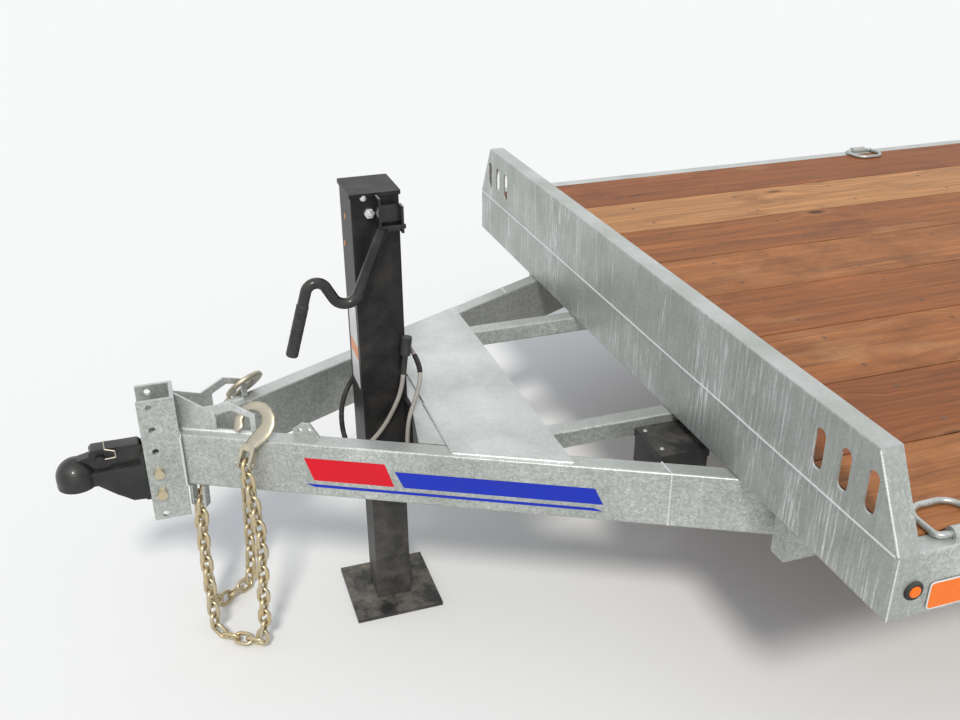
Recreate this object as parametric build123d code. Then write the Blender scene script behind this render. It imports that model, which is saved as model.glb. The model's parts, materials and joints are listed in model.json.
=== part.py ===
"""Deck-over equipment trailer with a ball coupler, a drop-leg jack and two stand-up rear ramps.

Millimetres. The pieces are drawn about the bed: x is 0 at the front face of the bulkhead and runs
forward, y runs to the left, and z is 0 at the underside of the bed frame, where it rests on the
tongue and the main rails. save() then moves each piece, so that the finished model stands on z = 0
with its box centred on x = y = 0.
"""
from build123d import *
from math import atan2, cos, radians, sin, tan
import os

os.makedirs("parts", exist_ok=True)

# Bed
frame_height = 665.0        # floor to the underside of the bed frame
bed_width = 2438.4          # 8 ft
bed_length = 6096.0         # 20 ft, dovetail included
tail_length = 1219.2        # dovetail, measured along x
tail_angle = 11.0           # degrees
rail_depth = 152.4          # 2 x 6 in tube round the bed
rail_width = 50.8
corner_radius = 6.0         # rounded corners of rectangular tube
plank_thick = 38.1
plank_gap = 5.0
plank_count = 8
seat_gap = 0.3              # running gap where a curved or soft piece seats

# Bulkhead
bulkhead_height = 337.6     # top edge above the frame's underside
bulkhead_flange = 50.5      # depth of the folded edge
bulkhead_inset = 97.2       # how far each end leans in over its height
bulkhead_bend = 4.5         # outside radius of the folds
sheet_thick = 4.8
slot_width = 34.0
slot_height = 96.0
slot_pitch = 84.0
slot_count = 3
slot_inset = 184.2          # centre of each group of slots from the bed's side
slot_group_z = 238.0

# Tongue
tongue_angle = 27.5         # degrees each side of straight ahead
tongue_depth = 152.4        # 2 x 6 in tube
tongue_width = 50.8
tongue_edge_x = 1258.8      # a point on the outer top edge of the left tube
tongue_edge_y = 30.7
plate_thick = 6.35
plate_rear_x = 340.0        # plate over the two tubes
plate_front_x = 604.0
plate_inward = 12.0         # its sides lie this far in from the tubes' outer edges
main_rail_y = 830.0         # outer face of the 2 x 6 in rails under the bed
main_rail_tail = 110.0      # depth of these rails where the dovetail ends
brace_y = (300.0, 350.0)
brace_depth = 50.8

# Coupler channel
channel_back_x = 1240.0     # rear face of the web
channel_front_x = 1333.0
channel_half = 50.0         # half of the outside width
channel_top = 112.0
channel_bottom = -240.0
channel_wall = 10.0
hole_pitch = 63.5
hole_count = 6
hole_radius = 8.5
hole_x = 1304.0
top_hole_z = 93.0
coupler_holes = (3, 4)      # which holes the coupler's bolts use, counted from 0 at the top

# Ball coupler
ball_radius = 29.4          # 2 5/16 in ball
ball_clearance = 0.8
ball_x = 1506.0
ball_z = -93.0              # ball's centre
socket_depth = 25.0         # straight part of the socket below it
head_radius = 50.0
coupler_half = 37.0         # half of the width between the channel's flanges
rib_half = 15.5             # rib on the neck that the latch sits astride
latch_wall = 4.0
latch_gap = 0.5
pivot_x = 1440.0
pivot_z = -45.0
pivot_radius = 6.0
bolt_radius = 7.9

# Jack
jack_x = 704.0
jack_length_x = 121.0
jack_width_y = 143.0
jack_top = 595.0
jack_bottom = -175.0
jack_edge = 5.0             # rounded vertical edges
leg_size = 100.0
leg_clearance = 0.5
foot_size = 254.0
foot_thick = 12.0
cap_thick = 10.0
cap_lip = 4.0
mount_half = 115.0          # plate on the housing's back, bolted to the crossmember
mount_thick = 12.0
mount_z = (-150.0, 20.0)
shaft_back = 28.0           # crank shaft behind the housing's centre
shaft_z = 525.0
crank_rod = 28.0
crank_off = 40.5            # crank's plane beside the housing
crank_bends = ((22, -10), (119.7, -238.4), (202, -86), (269, -315))
crank_radii = (35.0, 27.0)

# Running gear
tyre_radius = 359.5         # ST225/75R15
tyre_width = 223.0
bead_radius = 190.8
wheel_y = 1048.5            # centre plane of each tyre
window_radius = 14.0        # round windows in the wheel's disc
window_circle = 116.0
window_count = 8
axle_tube = 76.2
crossmember_first = 217.0   # first crossmember ahead of the dovetail
crossmember_pitch = 419.0
tail_member_first = 60.0    # and the first behind its start
axle_crossmembers = (3, 1)  # the axles stand under these crossmembers, counted from the dovetail
crossmember_flange = 44.0
crossmember_web = 5.0
drum_radius = 162.0
spring_width = 45.0
leaf_thick = 9.0
eye_offset = 330.0          # spring eye from the axle
eye_radius = 16.0
pin_radius = 7.2
pin_clearance = 0.3

# Ramps
ramp_length = 1524.0
ramp_width = 610.0
ramp_inset = 419.2          # centre line of each ramp from the bed's side
ramp_thick = 60.0
ramp_stringer = 38.0
ramp_bar = 50.0
ramp_lean = 6.0             # degrees forward of upright when stowed
ramp_bars = 8
ramp_foot = 30.0            # chamfer under the ramp's hinge end
ramp_start = 34.0           # the ramp's frame starts this far from the hinge axis
hinge_back = 24.0           # hinge axis behind the rear header
hinge_below = 24.0          # and below the deck there
hinge_rod = 13.0
hinge_clearance = 0.05
knuckle_radius = 19.0
knuckle_length = 60.0
ear_thick = 12.0

# Cleats on the dovetail
cleat_first = 200.0
cleat_pitch = 250.0
cleat_foot = 38.0
cleat_rise = 32.0
cleat_wall = 6.0
cleat_short = 40.0          # each stops this far from the side rails

# Lamps and deck rings
lamp_radius = 13.3
grommet_radius = 21.5
lamp_x = -52.0
lamp_z = 67.0
reflector_size = (112.0, 60.0, 4.0)
reflector_after = 40.0      # reflector behind the lamp
ring_rod = 14.0
ring_half = 60.0
ring_out = 24.0             # the held side of the ring, outside the planks
ring_reach = 100.0
ring_first = 170.0          # from the front
ring_last = 120.0           # ahead of the dovetail
ring_count = 4
clip_wall = 7.7
clip_half = 30.0

# Chains
link_wire = 11.0
link_inner_length = 38.6
link_inner_width = 17.5
link_pitch = 38.0

# Cable
cable_radius = 6.0
grommet_thick = 6.0
boot_radius = 8.0
boot_length = 55.0
plug_radius = 14.0
plug_length = 50.0

# What follows from them
rail_inner = bed_width / 2 - rail_width
plank_pitch = 2 * rail_inner / plank_count
plank_width = plank_pitch - plank_gap
plank_bottom = rail_depth - plank_thick
slope = tan(radians(tail_angle))
tail_x = -(bed_length - tail_length)
tail_drop = tail_length * slope
axle_x = [tail_x + crossmember_first + n * crossmember_pitch for n in axle_crossmembers]
axle_z = tyre_radius - frame_height
tongue_reach = ball_x + head_radius
stowed = radians(90.0 + ramp_lean)
rear_reach = hinge_back - (ramp_start + ramp_foot) * -cos(stowed) + (ramp_thick - hinge_below) * sin(stowed)
shift_x = (bed_length + rear_reach - tongue_reach) / 2
main_rail_inner = main_rail_y - rail_width
spring_y = main_rail_y - rail_width / 2
ramp_y = bed_width / 2 - ramp_inset


def save(node, *solids):
    """Write one node, moved from the bed's frame to the model's."""
    place = Pos(shift_x, 0, frame_height)
    export_step(Compound([place * s for s in solids]), f"parts/{node}.step")


def bar(x, y, z):
    """A square-edged block between two values on each axis."""
    size = (x[1] - x[0], y[1] - y[0], z[1] - z[0])
    return Pos(x[0], y[0], z[0]) * Box(*size, align=(Align.MIN,) * 3)


def tube(x, y, z, along):
    """Rectangular tube with rounded corners, closed at its ends."""
    block = bar(x, y, z)
    return fillet(block.edges().filter_by(along), corner_radius)


def side_plate(points, y):
    """An outline in x and z, given its thickness between two values of y."""
    face = Plane.XZ.offset(-y[1]) * Polygon(*points, align=None)
    return extrude(face, y[1] - y[0], dir=(0, -1, 0))


def flat_plate(points, z):
    """An outline in x and y, given its thickness between two values of z."""
    face = Plane.XY.offset(z[0]) * Polygon(*points, align=None)
    return extrude(face, z[1] - z[0], dir=(0, 0, 1))


def front_plate(points, x):
    """An outline in y and z, given its thickness between two values of x."""
    face = Plane.YZ.offset(x[0]) * Polygon(*points, align=None)
    return extrude(face, x[1] - x[0], dir=(1, 0, 0))


def long_edges(shape, length):
    """The edges of a tube that run its whole length."""
    return shape.edges().filter_by(lambda e: e.length > length)


def mirrored(shape):
    """The same piece on the other side of the trailer."""
    return mirror(shape, Plane.XZ)


def both(shape):
    """A piece and its mirror image."""
    return shape, mirrored(shape)


# Bed frame: side rails that bend down at the dovetail, front header, rear header
rear_x = -bed_length
rail_side = [(-rail_width, 0), (tail_x, 0), (rear_x, -tail_drop), (rear_x, rail_depth - tail_drop),
             (tail_x, rail_depth), (-rail_width, rail_depth)]
side_rail = side_plate(rail_side, (rail_inner, bed_width / 2))
side_rail = fillet(long_edges(side_rail, 2 * rail_depth), corner_radius)
save("side_rail_left", side_rail)
save("side_rail_right", mirrored(side_rail))
save("front_header", tube((-rail_width, 0), (-bed_width / 2, bed_width / 2), (0, rail_depth), Axis.Y))

header_back = rear_x + rail_width
header_drop = (tail_length - rail_width) * slope
rear_header = side_plate(
    [(header_back, -header_drop), (rear_x, -tail_drop), (rear_x, rail_depth - tail_drop),
     (header_back, rail_depth - header_drop)],
    (-rail_inner, rail_inner))
hinge_x = rear_x - hinge_back
hinge_z = rail_depth - tail_drop - hinge_below
ear_y = [s * (ramp_y + t * (ramp_width / 2 - knuckle_length - ear_thick / 2 - 1.0))
         for s in (-1, 1) for t in (-1, 1)]
for y in ear_y:
    ear = side_plate([(rear_x, hinge_z - 42), (rear_x, hinge_z + 20), (hinge_x - 14, hinge_z + 16),
                      (hinge_x - 14, hinge_z - 16)], (y - ear_thick / 2, y + ear_thick / 2))
    rod_hole = Pos(hinge_x, y, hinge_z) * Rot(90, 0, 0) * Cylinder(hinge_rod + seat_gap, ear_thick * 2)
    rear_header += ear - rod_hole
save("rear_header", rear_header)

# Bulkhead: a sheet with its top and leaning ends folded back, and two groups of slots
top_half = bed_width / 2 - bulkhead_inset
bulk_outer = [(-bed_width / 2, rail_depth), (bed_width / 2, rail_depth), (top_half, bulkhead_height),
              (-top_half, bulkhead_height)]
lean = atan2(bulkhead_inset, bulkhead_height - rail_depth)
end_in = sheet_thick / cos(lean)
top_in = end_in - sheet_thick * tan(lean)
bulk_inner = [(-bed_width / 2 + end_in, rail_depth - 1), (bed_width / 2 - end_in, rail_depth - 1),
              (top_half - top_in, bulkhead_height - sheet_thick),
              (-top_half + top_in, bulkhead_height - sheet_thick)]
bulkhead = front_plate(bulk_outer, (-bulkhead_flange, 0))
folds = [e for e in bulkhead.edges().group_by(Axis.X)[-1] if e.center().Z > rail_depth + 1]
bulkhead = fillet(folds, bulkhead_bend)
bulkhead -= front_plate(bulk_inner, (-bulkhead_flange - 1, -sheet_thick))
slot = Plane.YZ * SlotOverall(slot_height, slot_width, rotation=90)
slot_cut = Pos(-2 * sheet_thick, 0, 0) * extrude(slot, 3 * sheet_thick)
for side in (-1, 1):
    for n in range(slot_count):
        y = side * (bed_width / 2 - slot_inset) + (n - (slot_count - 1) / 2) * slot_pitch
        bulkhead -= Pos(0, y, slot_group_z) * slot_cut
save("bulkhead", bulkhead)

# Deck: planks side by side on the flat and on the dovetail
plank_y = [(-rail_inner + (n + 0.5) * plank_pitch) for n in range(plank_count)]
flat_planks = [bar((tail_x, -rail_width), (y - plank_width / 2, y + plank_width / 2),
                   (plank_bottom, rail_depth)) for y in plank_y]
save("deck_planks", *flat_planks)
tail_side = [(tail_x, plank_bottom), (header_back, plank_bottom - header_drop),
             (header_back, rail_depth - header_drop), (tail_x, rail_depth)]
save("tail_planks", *[side_plate(tail_side, (y - plank_width / 2, y + plank_width / 2)) for y in plank_y])

# Cleats: angles across the dovetail, one leg on the planks and the other standing
cleat_y = (-rail_inner + cleat_short, rail_inner - cleat_short)
cleat = bar((0, cleat_foot), cleat_y, (0, cleat_wall)) + bar((0, cleat_wall), cleat_y, (0, cleat_rise))
cleat_count = int((tail_length - rail_width - cleat_first - cleat_foot) / cleat_pitch) + 1
cleats = []
for n in range(cleat_count):
    d = cleat_first + n * cleat_pitch
    cleats.append(Pos(tail_x - d, 0, rail_depth - d * slope) * Rot(0, -tail_angle, 0) * cleat)
save("tail_cleats", *cleats)

# Crossmembers: formed channels between the side rails, cut short over the tyres
flange = crossmember_flange
web = crossmember_web
channel = [(0, 0), (flange, 0), (flange, web), (web, web), (web, plank_bottom - web),
           (flange, plank_bottom - web), (flange, plank_bottom), (0, plank_bottom)]
short_half = wheel_y - tyre_width / 2 - 30.0
crossmembers = []
x = tail_x + crossmember_first
while x + flange < -rail_width:
    half = short_half if len(crossmembers) in axle_crossmembers else rail_inner
    crossmembers.append(side_plate([(x + a, b) for a, b in channel], (-half, half)))
    x += crossmember_pitch
x = tail_x - tail_member_first
while x > header_back:
    base = [(x + a, b + (x - tail_x + a) * slope) for a, b in channel]
    crossmembers.append(side_plate(base, (-rail_inner, rail_inner)))
    x -= crossmember_pitch
save("crossmembers", *crossmembers)

# Main rails under the bed, tapered along the dovetail
main_side = [(-rail_width, 0), (tail_x, 0), (rear_x, -tail_drop), (rear_x, -tail_drop - main_rail_tail),
             (tail_x, -tongue_depth), (-rail_width, -tongue_depth)]
main_rail = side_plate(main_side, (main_rail_inner, main_rail_y))
save("main_rail_left", main_rail)
save("main_rail_right", mirrored(main_rail))

# Tongue: two tubes from the main rails to the coupler channel
turn = radians(tongue_angle)
tube_way = Vector(-cos(turn), sin(turn), 0)         # rearward along the left tube
tube_out = Vector(sin(turn), cos(turn), 0)          # square out from its outer face


def tube_edge(x, inward=0.0):
    """y of the left tube's outer face at x, or of a line that far inside it."""
    return tongue_edge_y + (tongue_edge_x - x) * tan(turn) - inward / cos(turn)


def along_tube(y, inward=0.0):
    """x at which that line reaches y."""
    return tongue_edge_x - (y + inward / cos(turn) - tongue_edge_y) / tan(turn)


def between_tubes(x, inward=0.0):
    """The four corners of a piece between the tubes, from one x to another."""
    left = [(x[0], tube_edge(x[0], inward)), (x[1], tube_edge(x[1], inward))]
    return left + [(a, -b) for a, b in reversed(left)]


def on_tube(x, inward):
    """A plane upright along the left tube, with its x rearward and its y upward."""
    return Plane(origin=(x, tube_edge(x, inward), 0), x_dir=tube_way, z_dir=tube_out)


tube_outline = [(channel_back_x, 0), (channel_back_x, tube_edge(channel_back_x)),
                (along_tube(main_rail_inner), main_rail_inner),
                (along_tube(main_rail_inner, tongue_width), main_rail_inner),
                (along_tube(0, tongue_width), 0)]
tongue_tube = flat_plate(tube_outline, (-tongue_depth, 0))
tongue_tube = fillet(long_edges(tongue_tube, 2 * tongue_depth), corner_radius)
save("tongue_tube_left", tongue_tube)
save("tongue_tube_right", mirrored(tongue_tube))
save("tongue_plate", flat_plate(between_tubes((plate_rear_x, plate_front_x), plate_inward), (0, plate_thick)))
brace = tube((-rail_width, plate_rear_x + 60.0), brace_y, (-brace_depth, 0), Axis.X)
save("tongue_braces", *both(brace))

# Coupler channel: web behind, flanges forward, a row of holes through both flanges
hole_z = [top_hole_z - n * hole_pitch for n in range(hole_count)]
channel = bar((channel_back_x, channel_front_x), (-channel_half, channel_half), (channel_bottom, channel_top))
channel -= bar((channel_back_x + channel_wall, channel_front_x + 1),
               (-channel_half + channel_wall, channel_half - channel_wall),
               (channel_bottom - 1, channel_top + 1))
for z in hole_z:
    channel -= Pos(hole_x, 0, z) * Rot(90, 0, 0) * Cylinder(hole_radius, 3 * channel_half)
save("coupler_channel", channel)

# Ball coupler: a block between the flanges, a neck with a rib on it, and the head over the ball
bolt_z = [hole_z[n] for n in coupler_holes]
block_x = (channel_back_x + channel_wall + 2, channel_front_x + 12)
block_z = (bolt_z[1] - 19.0, bolt_z[0] + 52.5)
mouth_z = ball_z - socket_depth
block = bar(block_x, (-coupler_half, coupler_half), block_z)
neck_start = block_x[1] - 4
neck_side = [(neck_start, block_z[0] + 3), (neck_start + 36, block_z[0] + 3), (neck_start + 73, mouth_z - 35),
             (ball_x - head_radius, mouth_z), (ball_x, mouth_z), (ball_x, ball_z + 12), (neck_start, ball_z + 20)]
neck_plan = [(neck_start, coupler_half - 1), (neck_start + 60, coupler_half - 7), (ball_x - 40, coupler_half - 7),
             (ball_x, coupler_half), (ball_x, -coupler_half), (ball_x - 40, 7 - coupler_half),
             (neck_start + 60, 7 - coupler_half), (neck_start, 1 - coupler_half)]
neck = side_plate(neck_side, (-coupler_half, coupler_half)) & flat_plate(neck_plan, (block_z[0], block_z[1]))
rib_top = pivot_z + 16.0
rib_side = [(neck_start, ball_z), (neck_start, block_z[1]), (neck_start + 14, rib_top), (pivot_x, rib_top),
            (pivot_x + 24, rib_top - 8), (ball_x - 8, ball_z + head_radius - 2), (ball_x - 8, ball_z)]
rib = side_plate(rib_side, (-rib_half, rib_half))
head = Pos(ball_x, 0, ball_z) * Sphere(head_radius) - Pos(ball_x, 0, ball_z - head_radius) * Box(
    2 * head_radius, 2 * head_radius, 2 * head_radius)
head += Pos(ball_x, 0, (ball_z + mouth_z) / 2) * Cylinder(head_radius, socket_depth)
coupler = block + neck + rib + head
socket_radius = ball_radius + ball_clearance
coupler -= Pos(ball_x, 0, ball_z - socket_depth) * Cylinder(socket_radius, 2 * socket_depth)
coupler -= Pos(ball_x, 0, ball_z) * Sphere(socket_radius)
for z in bolt_z:
    coupler -= Pos(hole_x, 0, z) * Rot(90, 0, 0) * Cylinder(bolt_radius + seat_gap, 3 * channel_half)
coupler -= Pos(pivot_x, 0, pivot_z) * Rot(90, 0, 0) * Cylinder(pivot_radius + seat_gap, 3 * channel_half)
save("coupler", coupler)

# Its latch: an inverted channel astride the rib, on a pivot pin
latch_in = rib_half + latch_gap
latch_half = latch_in + latch_wall
latch_top = rib_top + latch_gap + latch_wall + 6.0
latch_back = channel_front_x + 4
latch_side = [(latch_back, block_z[1] + 2), (latch_back, latch_top - 9), (latch_back + 9, latch_top),
              (pivot_x + 20, latch_top), (pivot_x + 27, latch_top - 8), (pivot_x + 27, pivot_z - 16),
              (pivot_x + 10, pivot_z - 28), (pivot_x - 14, pivot_z - 28), (pivot_x - 40, pivot_z - 12),
              (block_x[1] + 14, block_z[1] + 2)]
latch = side_plate(latch_side, (-latch_half, latch_half))
latch -= bar((latch_back - 1, pivot_x + 40), (-latch_in, latch_in), (-frame_height, latch_top - latch_wall))
latch += Pos(pivot_x, 0, pivot_z) * Rot(90, 0, 0) * Cylinder(pivot_radius, 2 * latch_half + 8)
for s in (-1, 1):
    pivot_nut = extrude(RegularPolygon(12, 6), 5, both=True)
    latch += Pos(pivot_x, s * (latch_half + 5), pivot_z) * Rot(90, 0, 0) * pivot_nut
save("coupler_latch", latch)

# Bolts through the channel's flanges, a hexagon head on the left and a nut on the right
bolts = []
for z in bolt_z:
    shank = Cylinder(bolt_radius, 2 * channel_half + 24)
    bolt_head = Pos(0, 0, channel_half + 6 + seat_gap) * extrude(RegularPolygon(14, 6), 6, both=True)
    nut = Pos(0, 0, -channel_half - 7 - seat_gap) * extrude(RegularPolygon(14, 6), 7, both=True)
    bolts.append(Pos(hole_x, 0, z) * Rot(-90, 0, 0) * (shank + bolt_head + nut))
save("coupler_bolts", *bolts)

# Hook plates: a gusset on each tube from the channel back to a finger that keeps the chain hook
gusset_inward = 34.0
hook_outline = [(channel_back_x, 0), (channel_back_x, 105.0), (1171.8, 67.3), (1108.2, 86.7), (1048.8, 57.3),
                (1048.8, 8.0), (1062.0, 8.0), (1062.0, 48.0), (1103.4, 66.3), (1143.7, 53.5), (1143.7, 0)]
along = [((channel_back_x - x) / cos(turn), z) for x, z in hook_outline]
hook_plate = extrude(on_tube(channel_back_x, gusset_inward) * Polygon(*along, align=None), plate_thick, dir=tube_out)
hook_plate = hook_plate & bar((0, channel_back_x), (0, bed_width), (-seat_gap, bulkhead_height))
save("hook_plates", *both(hook_plate))

# Jack: a crossmember between the tubes, a plate over it, and the housing bolted to its front
jack_rear = jack_x - jack_length_x / 2
half_x = jack_length_x / 2
half_y = jack_width_y / 2
cross_x = (jack_rear - rail_width, jack_rear)
save("jack_crossmember", flat_plate(between_tubes(cross_x, tongue_width), (-tongue_depth, -plate_thick)))
cover_x = jack_rear + 27.0
cover = [(cross_x[0], tube_edge(cross_x[0], tongue_width)), (cover_x, tube_edge(cover_x, tongue_width)),
         (jack_rear, mount_half + 5)]
cover += [(x, -y) for x, y in reversed(cover)]
save("jack_plate", flat_plate(cover, (-plate_thick, 0)))

housing = bar((jack_x - half_x, jack_x + half_x), (-half_y, half_y), (jack_bottom, jack_top - cap_thick))
housing = fillet(housing.edges().filter_by(Axis.Z), jack_edge)
leg_top = 150.0
bore_top = leg_top + 50.0   # the housing is solid above
bore = leg_size / 2 + leg_clearance
housing -= bar((jack_x - bore, jack_x + bore), (-bore, bore), (jack_bottom - 1, bore_top))
cap = bar((jack_x - half_x - cap_lip, jack_x + half_x + cap_lip), (-half_y - cap_lip, half_y + cap_lip),
          (jack_top - cap_thick, jack_top))
cap = fillet(cap.edges().filter_by(Axis.Z), jack_edge)
mount = bar((jack_rear, jack_rear + mount_thick), (-mount_half, mount_half), mount_z)
mount -= bar((jack_x - bore, jack_x + bore), (-bore, bore), (jack_bottom - 1, bore_top))
save("jack_housing", housing + cap + mount)
leg_foot_z = -frame_height + foot_thick
leg = bar((jack_x - leg_size / 2, jack_x + leg_size / 2), (-leg_size / 2, leg_size / 2), (leg_foot_z, leg_top))
save("jack_leg", leg)
save("jack_foot", bar((jack_x - foot_size / 2, jack_x + foot_size / 2), (-foot_size / 2, foot_size / 2),
                      (-frame_height, leg_foot_z)))

# Crank: a bent rod pinned in a fork on the shaft, folded down beside the housing
crank_y = half_y + crank_off
shaft_x = jack_x - shaft_back
crank_points = [(shaft_x + u, crank_y, shaft_z + v) for u, v in crank_bends]
crank_path = FilletPolyline(*crank_points, radius=list(crank_radii))
crank = sweep(Plane(origin=crank_path @ 0, z_dir=crank_path % 0) * Circle(crank_rod / 2), crank_path)
fork_half = 31.0
fork_y = (crank_y - 20.0, crank_y + 8.0)
fork = bar((shaft_x - fork_half, shaft_x + fork_half), fork_y, (shaft_z - 25, shaft_z + 43))
fork -= bar((shaft_x - fork_half + 6, shaft_x + fork_half - 6), (fork_y[0] + 6, fork_y[1] + 1),
            (shaft_z - 26, shaft_z + 44))
fork += bar((shaft_x + fork_half - 6, shaft_x + fork_half), (fork_y[0] - 12, fork_y[1]), (shaft_z - 11, shaft_z + 67))
fork += Pos(shaft_x, crank_y, shaft_z - 10) * Rot(0, 90, 0) * Cylinder(6, 2 * fork_half + 10)
shaft = Pos(shaft_x, half_y, shaft_z) * Rot(-90, 0, 0) * Cylinder(
    13, fork_y[0] + 3 - half_y, align=(Align.CENTER, Align.CENTER, Align.MIN))
save("jack_crank", crank + fork + shaft)

# Axles: a straight tube with a backing plate at each end, and the stub that carries the hub
hub_y = wheel_y - 150.0
axle = Rot(90, 0, 0) * Cylinder(axle_tube / 2, 2 * (hub_y - 12))
for side in (-1, 1):
    axle += Pos(0, side * (hub_y - 8), 0) * Rot(90, 0, 0) * Cylinder(150, 8)
    axle += Pos(0, side * (hub_y + 30), 0) * Rot(90, 0, 0) * Cylinder(22, 72)
for name, x in zip(("front", "rear"), axle_x):
    save(f"axle_{name}", Pos(x, 0, axle_z) * axle)

# Leaf springs over the axles: three leaves, the longest with eyes
seat_z = axle_z + axle_tube / 2 + 6.0
main_leaf_z = seat_z + 2 * leaf_thick
eye_z = main_leaf_z + 34.0


def leaf(half, low, rise):
    """A curved strip that is lowest over the axle."""
    lower = ThreePointArc((-half, low + rise), (0, low), (half, low + rise))
    upper = ThreePointArc((half, low + rise + leaf_thick), (0, low + leaf_thick), (-half, low + rise + leaf_thick))
    ends = [Line(lower @ 1, upper @ 0), Line(upper @ 1, lower @ 0)]
    face = Plane.XZ * make_face([lower, upper] + ends)
    return extrude(face, spring_width / 2, both=True)


eye_rise = eye_z - main_leaf_z - leaf_thick / 2
spring = leaf(eye_offset, main_leaf_z, eye_rise)
for n, share in enumerate((0.72, 0.42), 1):
    spring += leaf(eye_offset * share, main_leaf_z - n * leaf_thick, eye_rise * share ** 2)
spring += bar((-45, 45), (-spring_width / 2, spring_width / 2), (seat_z - 5.7, seat_z + 3))
for side in (-1, 1):
    spring += Pos(side * eye_offset, 0, eye_z) * Rot(90, 0, 0) * Cylinder(eye_radius, spring_width)
for side in (-1, 1):
    spring -= Pos(side * eye_offset, 0, eye_z) * Rot(90, 0, 0) * Cylinder(pin_radius + pin_clearance, 99)
springs = [Pos(x, s * spring_y, 0) * spring for x in axle_x for s in (-1, 1)]
save("leaf_springs", *springs)

# Hangers: two cheeks and a pin at each eye, with a rocking equaliser between the springs
rail_under = -tongue_depth
cheek_in = spring_width / 2 + seat_gap
cheek_out = cheek_in + 6.0
mid_x = sum(axle_x) / 2
hangers = []
for side in (-1, 1):
    for x in (axle_x[0] + eye_offset, axle_x[1] - eye_offset):
        hanger = bar((x - 40, x + 40), (-cheek_out, cheek_out), (rail_under - 6, rail_under))
        for cheek in (-1, 1):
            y = sorted((cheek * cheek_in, cheek * cheek_out))
            hanger += side_plate([(x - 40, rail_under), (x + 40, rail_under), (x + 18, eye_z - 20),
                                  (x - 18, eye_z - 20)], y)
        hanger += Pos(x, 0, eye_z) * Rot(90, 0, 0) * Cylinder(pin_radius, 2 * cheek_out + 16)
        hangers.append(Pos(0, side * spring_y, 0) * hanger)
    reach = axle_x[0] - eye_offset - mid_x
    middle = bar((mid_x - 34, mid_x + 34), (-cheek_out, cheek_out), (rail_under - 22, rail_under))
    for cheek in (-1, 1):
        y = sorted((cheek * cheek_in, cheek * cheek_out))
        middle += side_plate([(mid_x - 34, rail_under - 10), (mid_x + 34, rail_under - 10),
                              (mid_x + reach + 18, eye_z + 10), (mid_x + reach + 18, eye_z - 18),
                              (mid_x + reach - 18, eye_z - 18), (mid_x, eye_z + 8),
                              (mid_x - reach + 18, eye_z - 18), (mid_x - reach - 18, eye_z - 18),
                              (mid_x - reach - 18, eye_z + 10)], y)
    for s in (-1, 1):
        middle += Pos(mid_x + s * reach, 0, eye_z) * Rot(90, 0, 0) * Cylinder(pin_radius, 2 * cheek_out + 16)
    hangers.append(Pos(0, side * spring_y, 0) * middle)
save("spring_hangers", *hangers)

# Wheels: tyre, and a steel rim with its drum and hub; outward is +z until they are placed
half_wall = tyre_width * 0.5
half_tread = tyre_width * 0.4
half_bead = tyre_width * 0.36
shoulder = 60.0
tyre = revolve(Plane.XZ * Polygon(
    (bead_radius, -half_bead), (tyre_radius - shoulder, -half_wall), (tyre_radius, -half_tread),
    (tyre_radius, half_tread), (tyre_radius - shoulder, half_wall), (bead_radius, half_bead), align=None), Axis.Z)
rim_radius = bead_radius - seat_gap
rim_wall = 8.0
rim_lip = 15.0
flange_radius = rim_radius + rim_lip
lip_out = rim_lip * (half_wall - half_bead) / (tyre_radius - shoulder - bead_radius)
flange_w = half_bead + lip_out + 2 * seat_gap   # clear of the tyre's wall, which leans outwards
disc_profile = [(0, 84), (34, 84), (38, 78), (38, 0), (96, 0), (140, 26), (rim_radius - rim_wall, 26),
                (rim_radius - rim_wall, flange_w + 8), (flange_radius, flange_w + 8),
                (flange_radius, flange_w), (rim_radius, flange_w), (rim_radius, -flange_w),
                (flange_radius, -flange_w), (flange_radius, -flange_w - 8), (rim_radius - rim_wall, -flange_w - 8),
                (rim_radius - rim_wall, 16), (drum_radius, 16 - 24), (drum_radius, -146), (23, -146), (23, -70),
                (0, -70)]
wheel = revolve(Plane.XZ * Polygon(*disc_profile, align=None), Axis.Z)
window = Cylinder(window_radius, 24)
for n in range(window_count):
    wheel -= Rot(0, 0, 360 / window_count * n) * Pos(window_circle, 0, 14) * window
for end, x in zip(("front", "rear"), axle_x):
    for side, sign in (("left", 1), ("right", -1)):
        place = Pos(x, sign * wheel_y, axle_z) * Rot(-90 * sign, 0, 0)
        save(f"tyre_{end}_{side}", place * tyre)
        save(f"wheel_{end}_{side}", place * wheel)

# Ramps: drawn lying back from the hinge, with the tread level with the deck, then stood up
hinge_up = hinge_below
ramp_low = hinge_up - ramp_thick
stringer = side_plate([(-ramp_start, hinge_up), (-ramp_start, ramp_low + 20), (-ramp_start - ramp_foot, ramp_low),
                       (-ramp_length + 90, ramp_low), (-ramp_length, hinge_up - 14), (-ramp_length, hinge_up)],
                      (0, ramp_stringer))
ramp = Pos(0, -ramp_width / 2, 0) * stringer + Pos(0, ramp_width / 2 - ramp_stringer, 0) * stringer
step = (ramp_length - ramp_start - ramp_bar - 10) / (ramp_bars - 1)
rung_y = (-ramp_width / 2 + ramp_stringer - 8, ramp_width / 2 - ramp_stringer + 8)
for n in range(ramp_bars):
    x = -ramp_start - ramp_bar - n * step
    rung = bar((x, x + ramp_bar), rung_y, (hinge_up - 6, hinge_up))
    rung += bar((x, x + 6), rung_y, (hinge_up - 38 * (n < ramp_bars - 1) - 8, hinge_up))
    ramp += rung
knuckle_y = ramp_width / 2 - knuckle_length / 2
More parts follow.
